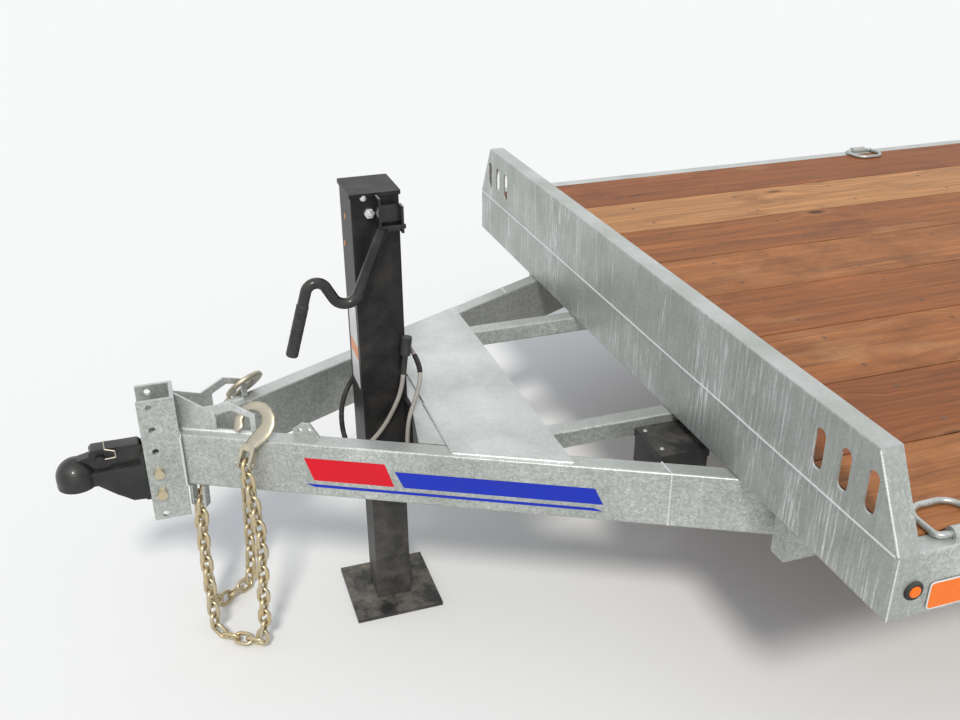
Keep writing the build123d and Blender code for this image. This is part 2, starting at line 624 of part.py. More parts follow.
for s in (-1, 1):
    knuckle = Pos(0, s * knuckle_y, 0) * Rot(90, 0, 0) * Cylinder(knuckle_radius, knuckle_length)
    y = sorted((s * ramp_width / 2, s * (ramp_width / 2 - ramp_stringer)))
    ramp += knuckle + side_plate([(0, 0), (-ramp_start - 4, ramp_low + 24), (-ramp_start - 4, hinge_up - 4)], y)
    ramp -= Pos(0, s * knuckle_y, 0) * Rot(90, 0, 0) * Cylinder(hinge_rod + hinge_clearance, knuckle_length + 2)
stand = Rot(0, 90 + ramp_lean, 0)
for side, sign in (("left", 1), ("right", -1)):
    save(f"ramp_{side}", Pos(hinge_x, sign * ramp_y, hinge_z) * stand * ramp)
rods = [Pos(hinge_x, s * ramp_y, hinge_z) * Rot(90, 0, 0) * Cylinder(hinge_rod, ramp_width + 12) for s in (-1, 1)]
save("hinge_rods", *rods)

# Lamps in rubber grommets, and reflectors, along the rails
lens = Cylinder(lamp_radius, 9, align=(Align.CENTER, Align.CENTER, Align.MIN))
lens = fillet(lens.edges().group_by(Axis.Z)[-1], 4)
grommet = Cylinder(grommet_radius, 6, align=(Align.CENTER, Align.CENTER, Align.MIN))
grommet = chamfer(grommet.edges().group_by(Axis.Z)[-1], 3) - Cylinder(lamp_radius + seat_gap, 20)
reflector = Box(*reflector_size[:2], reflector_size[2], align=(Align.MIN, Align.MIN, Align.MIN))
reflector = fillet(reflector.edges().filter_by(Axis.Z), 7)
lamps = []
grommets = []
reflectors = []
for x in (lamp_x, tail_x + ring_last):
    place = Pos(x, bed_width / 2, lamp_z) * Rot(-90, 0, 0)
    lamps += both(place * lens)
    grommets += both(place * grommet)
    corner = Pos(x - reflector_after, bed_width / 2, lamp_z + 7)
    reflectors += both(corner * Rot(-90, 0, 0) * Pos(-reflector_size[0], 0, 0) * reflector)
save("marker_lamps", *lamps)
save("lamp_grommets", *grommets)
save("reflectors", *reflectors)
tail_lamp_z = -tail_drop + rail_depth / 2 - 14.0
tail_lamp_y = (230.0, 380.0)
tail_lamp_half = 28.0
tail_lamp = bar((rear_x - 12, rear_x), tail_lamp_y, (tail_lamp_z - tail_lamp_half, tail_lamp_z + tail_lamp_half))
save("tail_lamps", *both(tail_lamp))

# Hooks: each hangs round the end of its plate's arm, its top leaning in through the window under the arm
# and its shank out over the tube, with a clevis for the chain
hook_thick = 14.0
hook_throat = 26.0
hook_round = 58.0
hook_arm_x = 1055.0         # the throat's top, at the end of the arm
hook_arm_z = 60.0
hook_set = 14.0             # and this far inside the plate's middle
hook_turn = radians(82.0)   # the hook's plane, turned from square across the plate towards the rear
hook_lean = 41.0            # degrees that its top leans inwards
chain_pin = 5.5             # radius of the clevis pin and of the anchor's bar
pin_drop = 137.0            # pin below the throat's top
pin_u = 10.0
ear_off = 15.0
clevis_ear = 8.0
ear_radius = 13.0
neck_drop = 40.0            # clevis block above the pin
hook_across = tube_out * cos(hook_turn) + tube_way * sin(hook_turn)
hook_face = Pos(8, -32) * Circle(hook_round)
hook_face += Polygon((-2, -60), (-2, -112), (22, -112), (44, -78), (40, -50), align=None)
hook_face -= Pos(0, -hook_throat) * Circle(hook_throat)
hook_face -= Polygon((-80, -62), (-31, -62), (-19, -44), (-2, -50), (-2, -120), (-80, -120), align=None)
hook = extrude(hook_face, hook_thick / 2, both=True)
for s in (-1, 1):
    hook += Pos(pin_u + s * ear_off, -pin_drop, 0) * Rot(0, 90, 0) * Cylinder(ear_radius, clevis_ear)
    hook += Pos(pin_u + s * ear_off, neck_drop / 2 + 3 - pin_drop, 0) * Box(clevis_ear, neck_drop + 6, 2 * ear_radius - 4)
hook += Pos(pin_u, neck_drop - pin_drop, 0) * Box(2 * ear_off + clevis_ear, 14, 2 * ear_radius - 4)
hook += Pos(pin_u, -pin_drop, 0) * Rot(0, 90, 0) * Cylinder(chain_pin, 2 * ear_off + 2 * clevis_ear)
plate_mid = tube_edge(hook_arm_x, gusset_inward - plate_thick / 2)
arm_point = Vector(hook_arm_x, plate_mid, hook_arm_z) - tube_out * hook_set
hook_plane = Plane(origin=arm_point, x_dir=hook_across, z_dir=hook_across.cross(Vector(0, 0, 1)))
hook_place = hook_plane.location * Rot(-hook_lean, 0, 0)
chain_hook = hook_place * hook
hook_pin = (hook_place * Pos(pin_u, -pin_drop, 0)).position
pin_axis = hook_across
save("chain_hooks", *both(chain_hook))

# Battery box beside the left brace, and the small bracket on the left tube
box_x = (-30.0, 100.0)
box_y = (brace_y[1] + seat_gap, brace_y[1] + 150.0)
battery_box = bar(box_x, box_y, (-125.0, -32.0))
battery_box += bar((box_x[0] - 3, box_x[1] + 3), (box_y[0], box_y[1] + 3), (-50.0, -25.0))
save("battery_box", battery_box)
bracket_x = 962.0
bracket_face = Polygon((0, 0), (0, 20), (24, 38), (46, 38), (70, 0), align=None)
for x, z in ((20, 18), (44, 20)):
    bracket_face -= Pos(x, z) * Circle(5.5)
save("cable_bracket", extrude(on_tube(bracket_x, tongue_width - 8) * bracket_face, 5, dir=tube_out))

# Cable: out of the left tube's inner face, up behind the housing, once round it and up to its plug
exit_x = 712.0
exit_z = -128.0
exit_face = Vector(exit_x, tube_edge(exit_x, tongue_width), exit_z)
cable_exit = exit_face - tube_out * grommet_thick
cable_start = cable_exit - tube_out * 42.0
plug_y = half_y + plug_radius + 0.5
cable_route = [tuple(cable_exit), tuple(cable_start), (677, 184, -102), (671, 159, -56), (658, 137, -4),
               (628, 115, 48), (610, 98, 98), (616, 66, 136), (624, 14, 146), (618, -50, 134),
               (632, -98, 112), (690, -110, 76), (752, -104, 20), (798, -80, -44), (812, -26, -106),
               (804, 56, -134), (768, 98, -96), (719, 92, -52), (684, 88, 4), (662, plug_y, 54), (656, plug_y, 100)]
corners = [Vector(*q) for q in cable_route]
radii = []
for a, b, c in zip(corners, corners[1:], corners[2:]):
    bend = (b - a).get_angle(c - b)
    radii.append(0.45 * min((b - a).length, (c - b).length) / tan(radians(bend / 2)))
print("cable bend radii", [round(r) for r in radii])
cable_path = FilletPolyline(*cable_route, radius=radii)
cable = sweep(Plane(origin=cable_path @ 0, z_dir=cable_path % 0) * Circle(cable_radius), cable_path)
print("cable length", round(cable_path.length), "volume ratio",
      round(cable.volume / (3.14159265 * cable_radius ** 2 * cable_path.length), 4))
save("trailer_cable", cable)
grommet_plane = Plane(origin=exit_face, x_dir=tube_way, z_dir=tube_out * -1)
save("cable_grommet", grommet_plane.location * Cylinder(13, grommet_thick, align=(Align.CENTER, Align.CENTER, Align.MIN)))
plug_plane = Plane(origin=cable_path @ 1, z_dir=cable_path % 1)
standing = (Align.CENTER, Align.CENTER, Align.MIN)
plug = Cylinder(boot_radius, boot_length, align=standing)
plug += Pos(0, 0, boot_length) * Cylinder(plug_radius, plug_length, align=standing)
save("cable_plug", plug_plane.location * plug)

# Deck rings: a round rod bent to a loop that lies over the deck, its outer side under a saddle
ring_y = rail_inner + ring_out
ring_z = rail_depth + ring_rod / 2 + seat_gap
ring_path = FilletPolyline((20, 0, 0), (ring_half, 0, 0), (ring_half, -ring_reach, 0), (-ring_half, -ring_reach, 0),
                           (-ring_half, 0, 0), (-20, 0, 0), radius=[16, 42, 42, 16])
deck_ring = sweep(Plane(origin=ring_path @ 0, z_dir=ring_path % 0) * Circle(ring_rod / 2), ring_path)
deck_ring += Rot(0, 90, 0) * Cylinder(ring_rod / 2, 40)
clip_in = ring_rod / 2 + seat_gap
clip_out = clip_in + clip_wall
clip_face = Circle(clip_out) + Pos(0, -clip_in / 2) * Rectangle(2 * clip_out, clip_in)
clip_face -= Circle(clip_in) + Pos(0, -clip_out) * Rectangle(2 * clip_in, 2 * clip_out)
clip_face -= Pos(0, -clip_in - clip_out) * Rectangle(4 * clip_out, 2 * clip_out)
ring_clip = extrude(Plane.YZ * clip_face, clip_half, both=True)
ring_step = (-tail_x - ring_last - ring_first) / (ring_count - 1)
rings = []
clips = []
for n in range(ring_count):
    place = Pos(-ring_first - n * ring_step, ring_y, ring_z)
    rings += both(place * deck_ring)
    clips += both(place * ring_clip)
save("deck_rings", *rings)
save("ring_clips", *clips)

# Safety chains: links of bent wire that hang from the tongue, lie on the floor and rise to the hook
link_half = link_inner_length / 2
link_side = link_inner_width / 2


def link_outline(grow):
    """Six corners, wide enough at the ends for the next link's wire."""
    x = link_half + grow
    y = link_side + grow
    end = link_wire / 2 + seat_gap + 0.5 * grow
    return [(x, end), (x, -end), (0, -y), (-x, -end), (-x, end), (0, y)]


link_face = Polygon(*link_outline(link_wire), align=None) - Polygon(*link_outline(0), align=None)
link = extrude(link_face, link_wire / 2, both=True)
floor_z = -frame_height + link_side + link_wire + 0.4
slack = (link_inner_length - link_pitch) / 2
hang = chain_pin + seat_gap - slack     # a link's joint lies this far beyond the pin it hangs on
chain_route = [(hook_pin.X, hook_pin.Y, hook_pin.Z + hang), (hook_pin.X, hook_pin.Y, hook_pin.Z - 60.0),
               (1074.0, 162.0, -300.0), (1096.0, 148.0, -600.0), (1108.0, 139.0, floor_z),
               (1226.0, 60.0, floor_z), (1238.0, 52.0, -600.0), (1222.0, 50.0, -350.0), (1210.0, 48.0, -174.0)]


def walk(route, pitch):
    """Points one link apart along straight runs."""
    points = [Vector(*route[0])]
    rest = [Vector(*p) for p in route[1:]]
    while rest:
        here = points[-1]
        if (rest[0] - here).length < pitch:
            rest.pop(0)
            continue
        points.append(here + (rest[0] - here).normalized() * pitch)
    return points


def chain(route):
    """The links, the last joint, the way the chain runs there and the last link's normal."""
    joints = walk(route, link_pitch)
    links = []
    for n, (a, b) in enumerate(zip(joints, joints[1:])):
        ahead = (b - a).normalized()
        side = (pin_axis - ahead * pin_axis.dot(ahead)).normalized()
        if n % 2:
            side = ahead.cross(side)
        links.append(Plane(origin=(a + b) * 0.5, x_dir=ahead, z_dir=side).location * link)
    return links, joints[-1], ahead, side


left_chain, chain_end, chain_way, anchor_axis = chain(chain_route)
print("links in each chain", len(left_chain))
save("safety_chain_left", *left_chain)
save("safety_chain_right", *[mirrored(k) for k in left_chain])

# Anchors: a bar through each chain's last link, held by two ears under the tongue
anchor_plane = Plane(origin=chain_end - chain_way * hang, x_dir=Vector(0, 0, 1).cross(anchor_axis).normalized(),
                     z_dir=anchor_axis)
ear_top = -tongue_depth - anchor_plane.origin.Z
anchor = Cylinder(chain_pin, 44)
for s in (-1, 1):
    anchor += Pos(0, ear_top / 2 - 4, s * 18.0) * Box(22, ear_top + 8, 8)
anchor = anchor_plane.location * anchor
anchor &= bar((0, channel_front_x), (0, bed_width / 2), (-frame_height, -tongue_depth))
save("chain_anchors", *both(anchor))
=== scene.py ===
# %% [markdown]
# # A deck-over equipment trailer
#
# This script dresses a trailer whose steel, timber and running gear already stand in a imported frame.
# Every cell adds one piece or one finish, and takes its place and size from the frame.

# %% Load the frame
import json
import math

import bmesh
import bpy
from mathutils import Matrix, Vector


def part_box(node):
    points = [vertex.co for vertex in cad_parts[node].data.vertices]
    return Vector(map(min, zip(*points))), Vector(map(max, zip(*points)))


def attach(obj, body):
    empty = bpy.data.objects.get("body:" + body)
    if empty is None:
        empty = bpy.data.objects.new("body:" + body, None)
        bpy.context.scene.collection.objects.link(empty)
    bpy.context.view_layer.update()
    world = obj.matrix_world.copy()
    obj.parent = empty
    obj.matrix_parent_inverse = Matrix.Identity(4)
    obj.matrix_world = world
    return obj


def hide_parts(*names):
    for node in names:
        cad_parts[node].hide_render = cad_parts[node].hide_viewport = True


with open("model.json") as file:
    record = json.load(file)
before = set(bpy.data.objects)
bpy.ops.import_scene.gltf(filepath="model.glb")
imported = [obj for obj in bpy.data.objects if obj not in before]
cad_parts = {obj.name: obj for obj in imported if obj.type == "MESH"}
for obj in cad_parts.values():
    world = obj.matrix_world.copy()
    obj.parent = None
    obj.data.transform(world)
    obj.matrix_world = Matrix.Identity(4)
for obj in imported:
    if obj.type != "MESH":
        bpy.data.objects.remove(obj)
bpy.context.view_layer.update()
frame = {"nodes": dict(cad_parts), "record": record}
bpy.context.scene.view_settings.view_transform = "Standard"

# %% [markdown]
# The trailer is measured from the front of its bed: x is 0 at the header's front face, y is 0 on the
# centre line and z is 0 where the bed rests on the tongue. at() turns such a place, in millimetres, into
# the frame's metres. Measuring from the header keeps every later number close to what a tape would read.

# %% Measure from the bed
MM = 0.001
UP = Vector((0, 0, 1))
LEFT = Vector((0, 1, 0))
AHEAD = Vector((1, 0, 0))
header_low, header_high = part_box("front_header")
bed_front = Vector((header_high.x, 0.0, header_low.z))
bed_half = header_high.y / MM
deck_top = (header_high.z - header_low.z) / MM


def at(x, y, z):
    return Vector((bed_front.x + x * MM, y * MM, bed_front.z + z * MM))


def measured(node):
    return [(corner - bed_front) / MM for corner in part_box(node)]


def mirrored(points):
    return [Vector((x, -y, z)) for x, y, z in points]


print("bed", round(2 * bed_half), "mm wide, deck", round(deck_top), "mm above the tongue")

# %% [markdown]
# The tongue's two tubes run back from the coupler at an angle, and much hangs on them: the hooks' plates,
# the cable, the stripes. Two unit vectors along and across the left tube, and its outer edge at any x,
# let each of these be placed with tape measurements along the tube. The right side is a mirror image.

# %% The left tongue tube
TONGUE_TURN = math.radians(27.5)
EDGE_X = 1258.8
EDGE_Y = 30.7
TUBE_WIDE = 50.8
TUBE_DEEP = 152.4
TUBE_START = 1240.0
TUBE_WAY = Vector((-math.cos(TONGUE_TURN), math.sin(TONGUE_TURN), 0.0))
TUBE_OUT = Vector((math.sin(TONGUE_TURN), math.cos(TONGUE_TURN), 0.0))


def tube_edge(x, inward=0.0):
    return EDGE_Y + (EDGE_X - x) * math.tan(TONGUE_TURN) - inward / math.cos(TONGUE_TURN)


def on_tube(x, inward, z):
    return Vector((x, tube_edge(x, inward), z))


print("tube's outer edge at the channel", round(tube_edge(TUBE_START), 1), "mm from the centre line")

# %% [markdown]
# The camera stands in front of the trailer's left side and looks down at the tongue. It could be placed
# by eye, but its place and its lens were worked out from the edges of the bed and the tongue, so that the
# picture lines up. It is made before the cable.

# %% Camera
FOCAL_PX = 1026.0
FRAME_PX = 960.0
SENSOR = 36.0
CAMERA_PLACE = (1215.8, 2436.8, 1342.5)
LOOK = Vector((-0.27943, -0.84953, -0.44746))
RIGHT = Vector((-0.94891, 0.31549, -0.00641))


def stand(name, data):
    made = bpy.data.objects.new(name, data)
    bpy.context.scene.collection.objects.link(made)
    return made


camera_data = bpy.data.cameras.new("camera")
camera_data.sensor_width = SENSOR
camera_data.lens = FOCAL_PX / FRAME_PX * SENSOR
camera_data.clip_end = 200.0
camera = stand("camera", camera_data)
camera_turn = Matrix((RIGHT, RIGHT.cross(LOOK), -LOOK)).transposed().to_4x4()
camera.matrix_world = Matrix.Translation(at(*CAMERA_PLACE)) @ camera_turn
bpy.context.scene.camera = camera
print("lens", round(camera_data.lens, 2), "mm")

# %% [markdown]
# The wiring cable leaves the left tube through a rubber grommet, climbs behind the jack, goes once round
# the housing and ends in a plug that points up. A NURBS curve suits a stiff cord: its points are the
# places that pull the cable, and the line between them bends no more sharply than the real one would. The
# first two points stand square to the tube, because a cable leaves its grommet straight. The spline is
# then turned into a mesh twice: as the tube, and with no thickness as the line that later pieces follow.

# %% Cable
CABLE_RADIUS = 6.0
GROMMET_THICK = 6.0
GROMMET_X = 712.0
GROMMET_Z = -128.0
STRAIGHT_OUT = 42.0
PLUG_Y = 86.0
cable_exit = on_tube(GROMMET_X, TUBE_WIDE, GROMMET_Z) - TUBE_OUT * GROMMET_THICK
cable_route = [cable_exit, cable_exit - TUBE_OUT * STRAIGHT_OUT, (677, 184, -102), (671, 159, -56),
               (658, 137, -4), (628, 115, 48), (610, 98, 98), (616, 66, 136), (624, 14, 146),
               (618, -50, 134), (632, -98, 112), (690, -110, 76), (752, -104, 20), (798, -80, -44),
               (812, -26, -106), (804, 56, -134), (768, 98, -96), (719, 92, -52), (684, 88, 4),
               (662, PLUG_Y, 54), (656, PLUG_Y, 100)]


def cable_mesh(name, radius):
    """The spline as a mesh: a tube, or the bare line where the radius is 0."""
    curve = bpy.data.curves.new(name, "CURVE")
    curve.dimensions = "3D"
    curve.resolution_u = 12
    curve.bevel_depth = radius * MM
    curve.bevel_resolution = 4
    curve.use_fill_caps = True
    line = curve.splines.new("NURBS")
    line.points.add(len(cable_route) - 1)
    for point, place in zip(line.points, cable_route):
        point.co = (*at(*place), 1.0)
    line.order_u = 3
    line.use_endpoint_u = True
    holder = stand(name, curve)
    mesh = bpy.data.meshes.new_from_object(holder)
    bpy.data.objects.remove(holder)
    mesh.name = name
    return mesh


cable_line = [v.co.copy() for v in cable_mesh("cable_line", 0.0).vertices]
cable_tube = cable_mesh("wiring_cable", CABLE_RADIUS)
welded = bmesh.new()
welded.from_mesh(cable_tube)
bmesh.ops.remove_doubles(welded, verts=welded.verts, dist=0.00001)
bmesh.ops.recalc_face_normals(welded, faces=welded.faces)
welded.to_mesh(cable_tube)
welded.free()
cable_tube.shade_smooth()
cable = stand("wiring_cable", cable_tube)
cable_long = sum((b - a).length for a, b in zip(cable_line, cable_line[1:]))
print("cable", round(cable_long, 3), "m,", len(cable_line), "points along it")

# %% [markdown]
# A material is a small graph. put() adds one node, fills its inputs and gives one of its outputs: a
# socket is linked, and a plain value is set. That keeps each recipe readable as a list of what feeds
# what. It also builds the Geometry Nodes trees, because both kinds of tree hold nodes in the same way.

# %% Helpers for node graphs
def fill(tree, socket, value):
    """Link a socket, or set its value. A colour is three numbers, and its alpha is 1."""
    if isinstance(value, bpy.types.NodeSocket):
        tree.links.new(value, socket)
    else:
        socket.default_value = (*value, 1.0) if socket.type == "RGBA" else value


def put(tree, kind, inputs, output=None, **settings):
    """One node. Its first live output comes back, or the one that is asked for."""
    node = tree.nodes.new(kind)
    for key, value in settings.items():
        setattr(node, key, value)
    for key, value in inputs.items():
        fill(tree, node.inputs[key], value)
    if output is None:
        return next(socket for socket in node.outputs if socket.enabled)
    return node.outputs[output]


def feed(tree, bsdf, **values):
    for key, value in values.items():
        fill(tree, bsdf.inputs[key.replace("_", " ")], value)


def ramp(tree, factor, stops, steps=False):
    colour = put(tree, "ShaderNodeValToRGB", {"Fac": factor})
    band = colour.node.color_ramp
    band.interpolation = "CONSTANT" if steps else "LINEAR"
    while len(band.elements) < len(stops):
        band.elements.new(0.5)
    for element, (place, shade) in zip(band.elements, stops):
        element.position = place
        element.color = (*shade, 1.0)
    return colour


def scaled(tree, value, low, high, start=0.0, end=1.0):
    return put(tree, "ShaderNodeMapRange", {"Value": value, "From Min": start, "From Max": end,
                                            "To Min": low, "To Max": high})


def maths(tree, operation, first, second=0.0):
    return put(tree, "ShaderNodeMath", {0: first, 1: second}, operation=operation)


def times(tree, first, second):
    return maths(tree, "MULTIPLY", first, second)


def added(tree, first, second):
    return put(tree, "ShaderNodeVectorMath", {0: first, 1: second}, operation="ADD")


def mixed(tree, factor, first, second):
    return put(tree, "ShaderNodeMix", {"Factor": factor, "A": first, "B": second}, data_type="FLOAT")


def tinted(tree, factor, first, second, blend="MIX"):
    """Two colours mixed: a Mix node keeps its colour sockets after its number sockets."""
    return put(tree, "ShaderNodeMix", {"Factor": factor, 6: first, 7: second}, 2, data_type="RGBA",
               blend_type=blend)


def noise(tree, vector, scale, detail=4.0, roughness=0.55, distortion=0.0):
    return put(tree, "ShaderNodeTexNoise", {"Vector": vector, "Scale": scale, "Detail": detail,
                                            "Roughness": roughness, "Distortion": distortion})


def grained(tree, vector, stretch, detail, roughness, distortion=0.0):
    """A noise drawn out along one axis: the smaller an axis's number, the longer the marks along it."""
    place = put(tree, "ShaderNodeMapping", {"Vector": vector, "Scale": stretch})
    return noise(tree, place, 1.0, detail, roughness, distortion)


def bump(tree, height, strength, distance):
    return put(tree, "ShaderNodeBump", {"Height": height, "Strength": strength,
                                        "Distance": distance * MM})


def place_of(tree):
    return put(tree, "ShaderNodeTexCoord", {}, "Object")


def facing_up(tree):
    normal = put(tree, "ShaderNodeNewGeometry", {}, "Normal")
    return put(tree, "ShaderNodeSeparateXYZ", {"Vector": normal}, "Z")


def material(name, colour, **fixed):
    made = bpy.data.materials.new(name)
    made.use_nodes = True
    made.diffuse_color = (*colour, 1.0)
    tree = made.node_tree
    bsdf = tree.nodes["Principled BSDF"]
    feed(tree, bsdf, Base_Color=colour, **fixed)
    return made, tree, bsdf


def open_tree(name, kind, inputs, outputs):
    """A new tree, its inputs by name, and the node that its outputs go to."""
    tree = bpy.data.node_groups.new(name, kind)
    for rows, way in ((inputs, "INPUT"), (outputs, "OUTPUT")):
        for label, socket in rows:
            tree.interface.new_socket(label, in_out=way, socket_type="NodeSocket" + socket)
    return tree, tree.nodes.new("NodeGroupInput").outputs, tree.nodes.new("NodeGroupOutput")


def shader_group(name, defaults, outputs):
    parts = open_tree(name, "ShaderNodeTree", [(label, "Float") for label in defaults], outputs)
    for label, value in defaults.items():
        parts[0].interface.items_tree[label].default_value = value
    return parts


# %% [markdown]
# Hot-dip galvanised steel has a spangle: grey crystals a few millimetres across, each with its own tone.
# A Voronoi cell colour gives one tone to each crystal, a fine noise grains it, and the brightest grains
# stand out like salt. Slow clouds lie over all of it. Where a sheet drained, zinc ran down in long pale
# threads, so the group stretches two more noises along Z and keeps only their peaks.

# %% Zinc group
SPANGLE = {"Cell": 170.0, "Contrast": 0.5, "Clouds": 0.5, "Streaks": 0.0, "Salt": 0.2, "Tone": 0.5}
ZINC_TONES = [(0.0, (0.15, 0.165, 0.155)), (0.35, (0.33, 0.35, 0.325)), (0.55, (0.47, 0.49, 0.465)),
              (0.78, (0.68, 0.70, 0.69)), (1.0, (0.88, 0.89, 0.88))]
ZINC_GIVES = [("Color", "Color"), ("Roughness", "Float"), ("Height", "Float")]
zinc_group, given, out = shader_group("zinc_spangle", SPANGLE, ZINC_GIVES)
tree = zinc_group
coords = place_of(tree)
cell_colour = put(tree, "ShaderNodeTexVoronoi", {"Vector": coords, "Scale": given["Cell"]}, "Color")
crystals = put(tree, "ShaderNodeSeparateColor", {"Color": cell_colour}, "Red")
fine_grain = noise(tree, coords, 460.0, 3.0, 0.6)
salt = scaled(tree, noise(tree, coords, 300.0, 2.0, 0.5), 0.0, 1.0, 0.60, 0.74)
clouds = noise(tree, coords, 5.0, 7.0, 0.6)
threads = grained(tree, coords, (170.0, 170.0, 9.0), 5.0, 0.66)
bunches = grained(tree, coords, (11.0, 11.0, 1.6), 4.0, 0.6)
runs = scaled(tree, threads, 0.0, 1.0, 0.50, 0.74)
drips = times(tree, runs, scaled(tree, bunches, 0.15, 1.0, 0.42, 0.62))
speckle = mixed(tree, 0.55, crystals, fine_grain)
tone = given["Tone"]
for layer, amount in ((maths(tree, "SUBTRACT", speckle, 0.5), "Contrast"),
                      (maths(tree, "SUBTRACT", clouds, 0.5), "Clouds"), (drips, "Streaks"), (salt, "Salt")):
    tone = maths(tree, "ADD", tone, times(tree, layer, given[amount]))
feed(tree, out, Color=ramp(tree, tone, ZINC_TONES), Roughness=scaled(tree, tone, 0.50, 0.32),
     Height=maths(tree, "ADD", speckle, drips))
print("zinc group", list(SPANGLE))

# %% [markdown]
# Each galvanised piece uses that group with its own amounts: grain and salt on the tubes, long runs on
# the bulkhead, a plainer skin on plates. A face that looks up lay flat as it cooled, so it is smoother,
# with no runs. It is also painted lighter there, a painted reflection of the sky: the surface's own
# normal, read in the material, tells where that is.

# %% Zinc finishes
def zinc(name, contrast=0.44, clouds=0.5, streaks=0.16, salt=0.34, tone=0.455, metallic=0.6, relief=0.25):
    made, tree, bsdf = material(name, (0.50, 0.52, 0.50), Metallic=metallic)
    up_face_smooth_and_lit = scaled(tree, facing_up(tree), 0.0, 1.0, 0.7, 0.95)
    # Faces that look up lose runs and grain, and their raised tone is a painted reflection of the sky.
    amounts = {"Contrast": scaled(tree, up_face_smooth_and_lit, contrast, contrast * 0.4), "Clouds": clouds,
               "Streaks": scaled(tree, up_face_smooth_and_lit, streaks, 0.0), "Salt": scaled(tree, up_face_smooth_and_lit, salt, salt * 0.3),
               "Tone": scaled(tree, up_face_smooth_and_lit, tone, tone + 0.15)}
    spangle = put(tree, "ShaderNodeGroup", amounts, node_tree=zinc_group).node.outputs
    feed(tree, bsdf, Base_Color=spangle["Color"], Roughness=spangle["Roughness"],
         Normal=bump(tree, spangle["Height"], relief, 0.4))
    return made


zinc_tube = zinc("zinc_tube")
zinc_sheet = zinc("zinc_sheet", contrast=0.2, clouds=0.5, streaks=0.72, salt=0.12, tone=0.42)
zinc_plate = zinc("zinc_plate", contrast=0.34, clouds=0.6, salt=0.15, tone=0.53)
zinc_bead = zinc("zinc_bead", contrast=0.2, clouds=0.2, streaks=0.0, tone=0.8, metallic=0.75, relief=0.15)
print("zinc finishes", [m.name for m in (zinc_tube, zinc_sheet, zinc_plate, zinc_bead)])

# %% [markdown]
# The deck is stained timber: eight boards side by side, each sawn from another log. The board's number
# comes from its distance across the bed, and a ramp with hard steps gives each number its own colour. The
# grain is a noise stretched along the board and shifted for each one, so no line runs on across a gap. A
# knot is the middle of a large Voronoi cell. The grain bends round it, because its distance is added to
# the place where the grain is read. Where stain wore thin, paler wood shows in long patches.

# %% Timber
BOARD_PITCH = 0.2921
BOARD_COLOURS = [(0.245, 0.088, 0.034), (0.420, 0.205, 0.085), (0.280, 0.105, 0.038),
                 (0.345, 0.138, 0.050), (0.265, 0.096, 0.035), (0.310, 0.118, 0.042),
                 (0.235, 0.082, 0.030), (0.350, 0.140, 0.052)]
BARE_WOOD = (0.52, 0.290, 0.135)
SOILED_WOOD = (0.120, 0.048, 0.022)
KNOT_RING = (0.42, 0.20, 0.085)
KNOT_DARK = (0.060, 0.022, 0.010)
BOARDS = len(BOARD_COLOURS)
timber, tree, bsdf = material("stained_timber", BOARD_COLOURS[2], Specular_IOR_Level=0.22)
coords = place_of(tree)
from_middle = put(tree, "ShaderNodeSeparateXYZ", {"Vector": coords}, "Y")
across = maths(tree, "ADD", from_middle, BOARDS / 2 * BOARD_PITCH)
board = maths(tree, "FLOOR", maths(tree, "DIVIDE", across, BOARD_PITCH))
board_steps = [(n / BOARDS, colour) for n, colour in enumerate(BOARD_COLOURS)]
board_middle = maths(tree, "DIVIDE", maths(tree, "ADD", board, 0.5), BOARDS)
board_colour = ramp(tree, board_middle, board_steps, steps=True)
shift = put(tree, "ShaderNodeCombineXYZ", {"X": times(tree, board, 3.7), "Z": times(tree, board, 1.3)})
log = added(tree, coords, shift)
knot_place = put(tree, "ShaderNodeMapping", {"Vector": log, "Scale": (1.7, 4.2, 4.2)})
knots = put(tree, "ShaderNodeTexVoronoi", {"Vector": knot_place, "Scale": 1.0}, "Distance")
bend = put(tree, "ShaderNodeCombineXYZ", {"Y": scaled(tree, knots, 0.055, 0.0, 0.03, 0.34)})
curled = added(tree, log, bend)
grain = grained(tree, curled, (1.3, 30.0, 30.0), 7.0, 0.62, 1.4)
fibre = grained(tree, curled, (8.0, 260.0, 260.0), 4.0, 0.6)
figure = mixed(tree, 0.34, grain, fibre)
shade = scaled(tree, figure, 0.42, 1.55, 0.30, 0.70)
grey = put(tree, "ShaderNodeCombineColor", {"Red": shade, "Green": shade, "Blue": shade})
wood = tinted(tree, 1.0, board_colour, grey, "MULTIPLY")
worn = grained(tree, log, (1.6, 5.5, 5.5), 6.0, 0.65)
soiled = noise(tree, log, 3.1, 6.0, 0.7)
for where, colour in ((scaled(tree, worn, 0.0, 0.55, 0.56, 0.74), BARE_WOOD),
                      (scaled(tree, soiled, 0.5, 0.0, 0.30, 0.46), SOILED_WOOD),
                      (scaled(tree, knots, 0.45, 0.0, 0.06, 0.17), KNOT_RING),
                      (scaled(tree, knots, 1.0, 0.0, 0.035, 0.090), KNOT_DARK)):
    wood = tinted(tree, where, wood, colour)
feed(tree, bsdf, Base_Color=wood, Roughness=scaled(tree, figure, 0.46, 0.74),
     Normal=bump(tree, figure, 0.55, 0.9))
print("boards", BOARDS, "of", round(BOARD_PITCH / MM, 1), "mm")

# %% [markdown]
# The rest of the trailer wears a handful of finishes: gloss enamel on the jack, rough paint on the cast
# coupler, yellow-chromate zinc on chain and bolts, rubber, plastic and lenses. Dust settles on all of
# them, so it is a group: it gives a mask that is strong on faces that look up and patchy everywhere else.

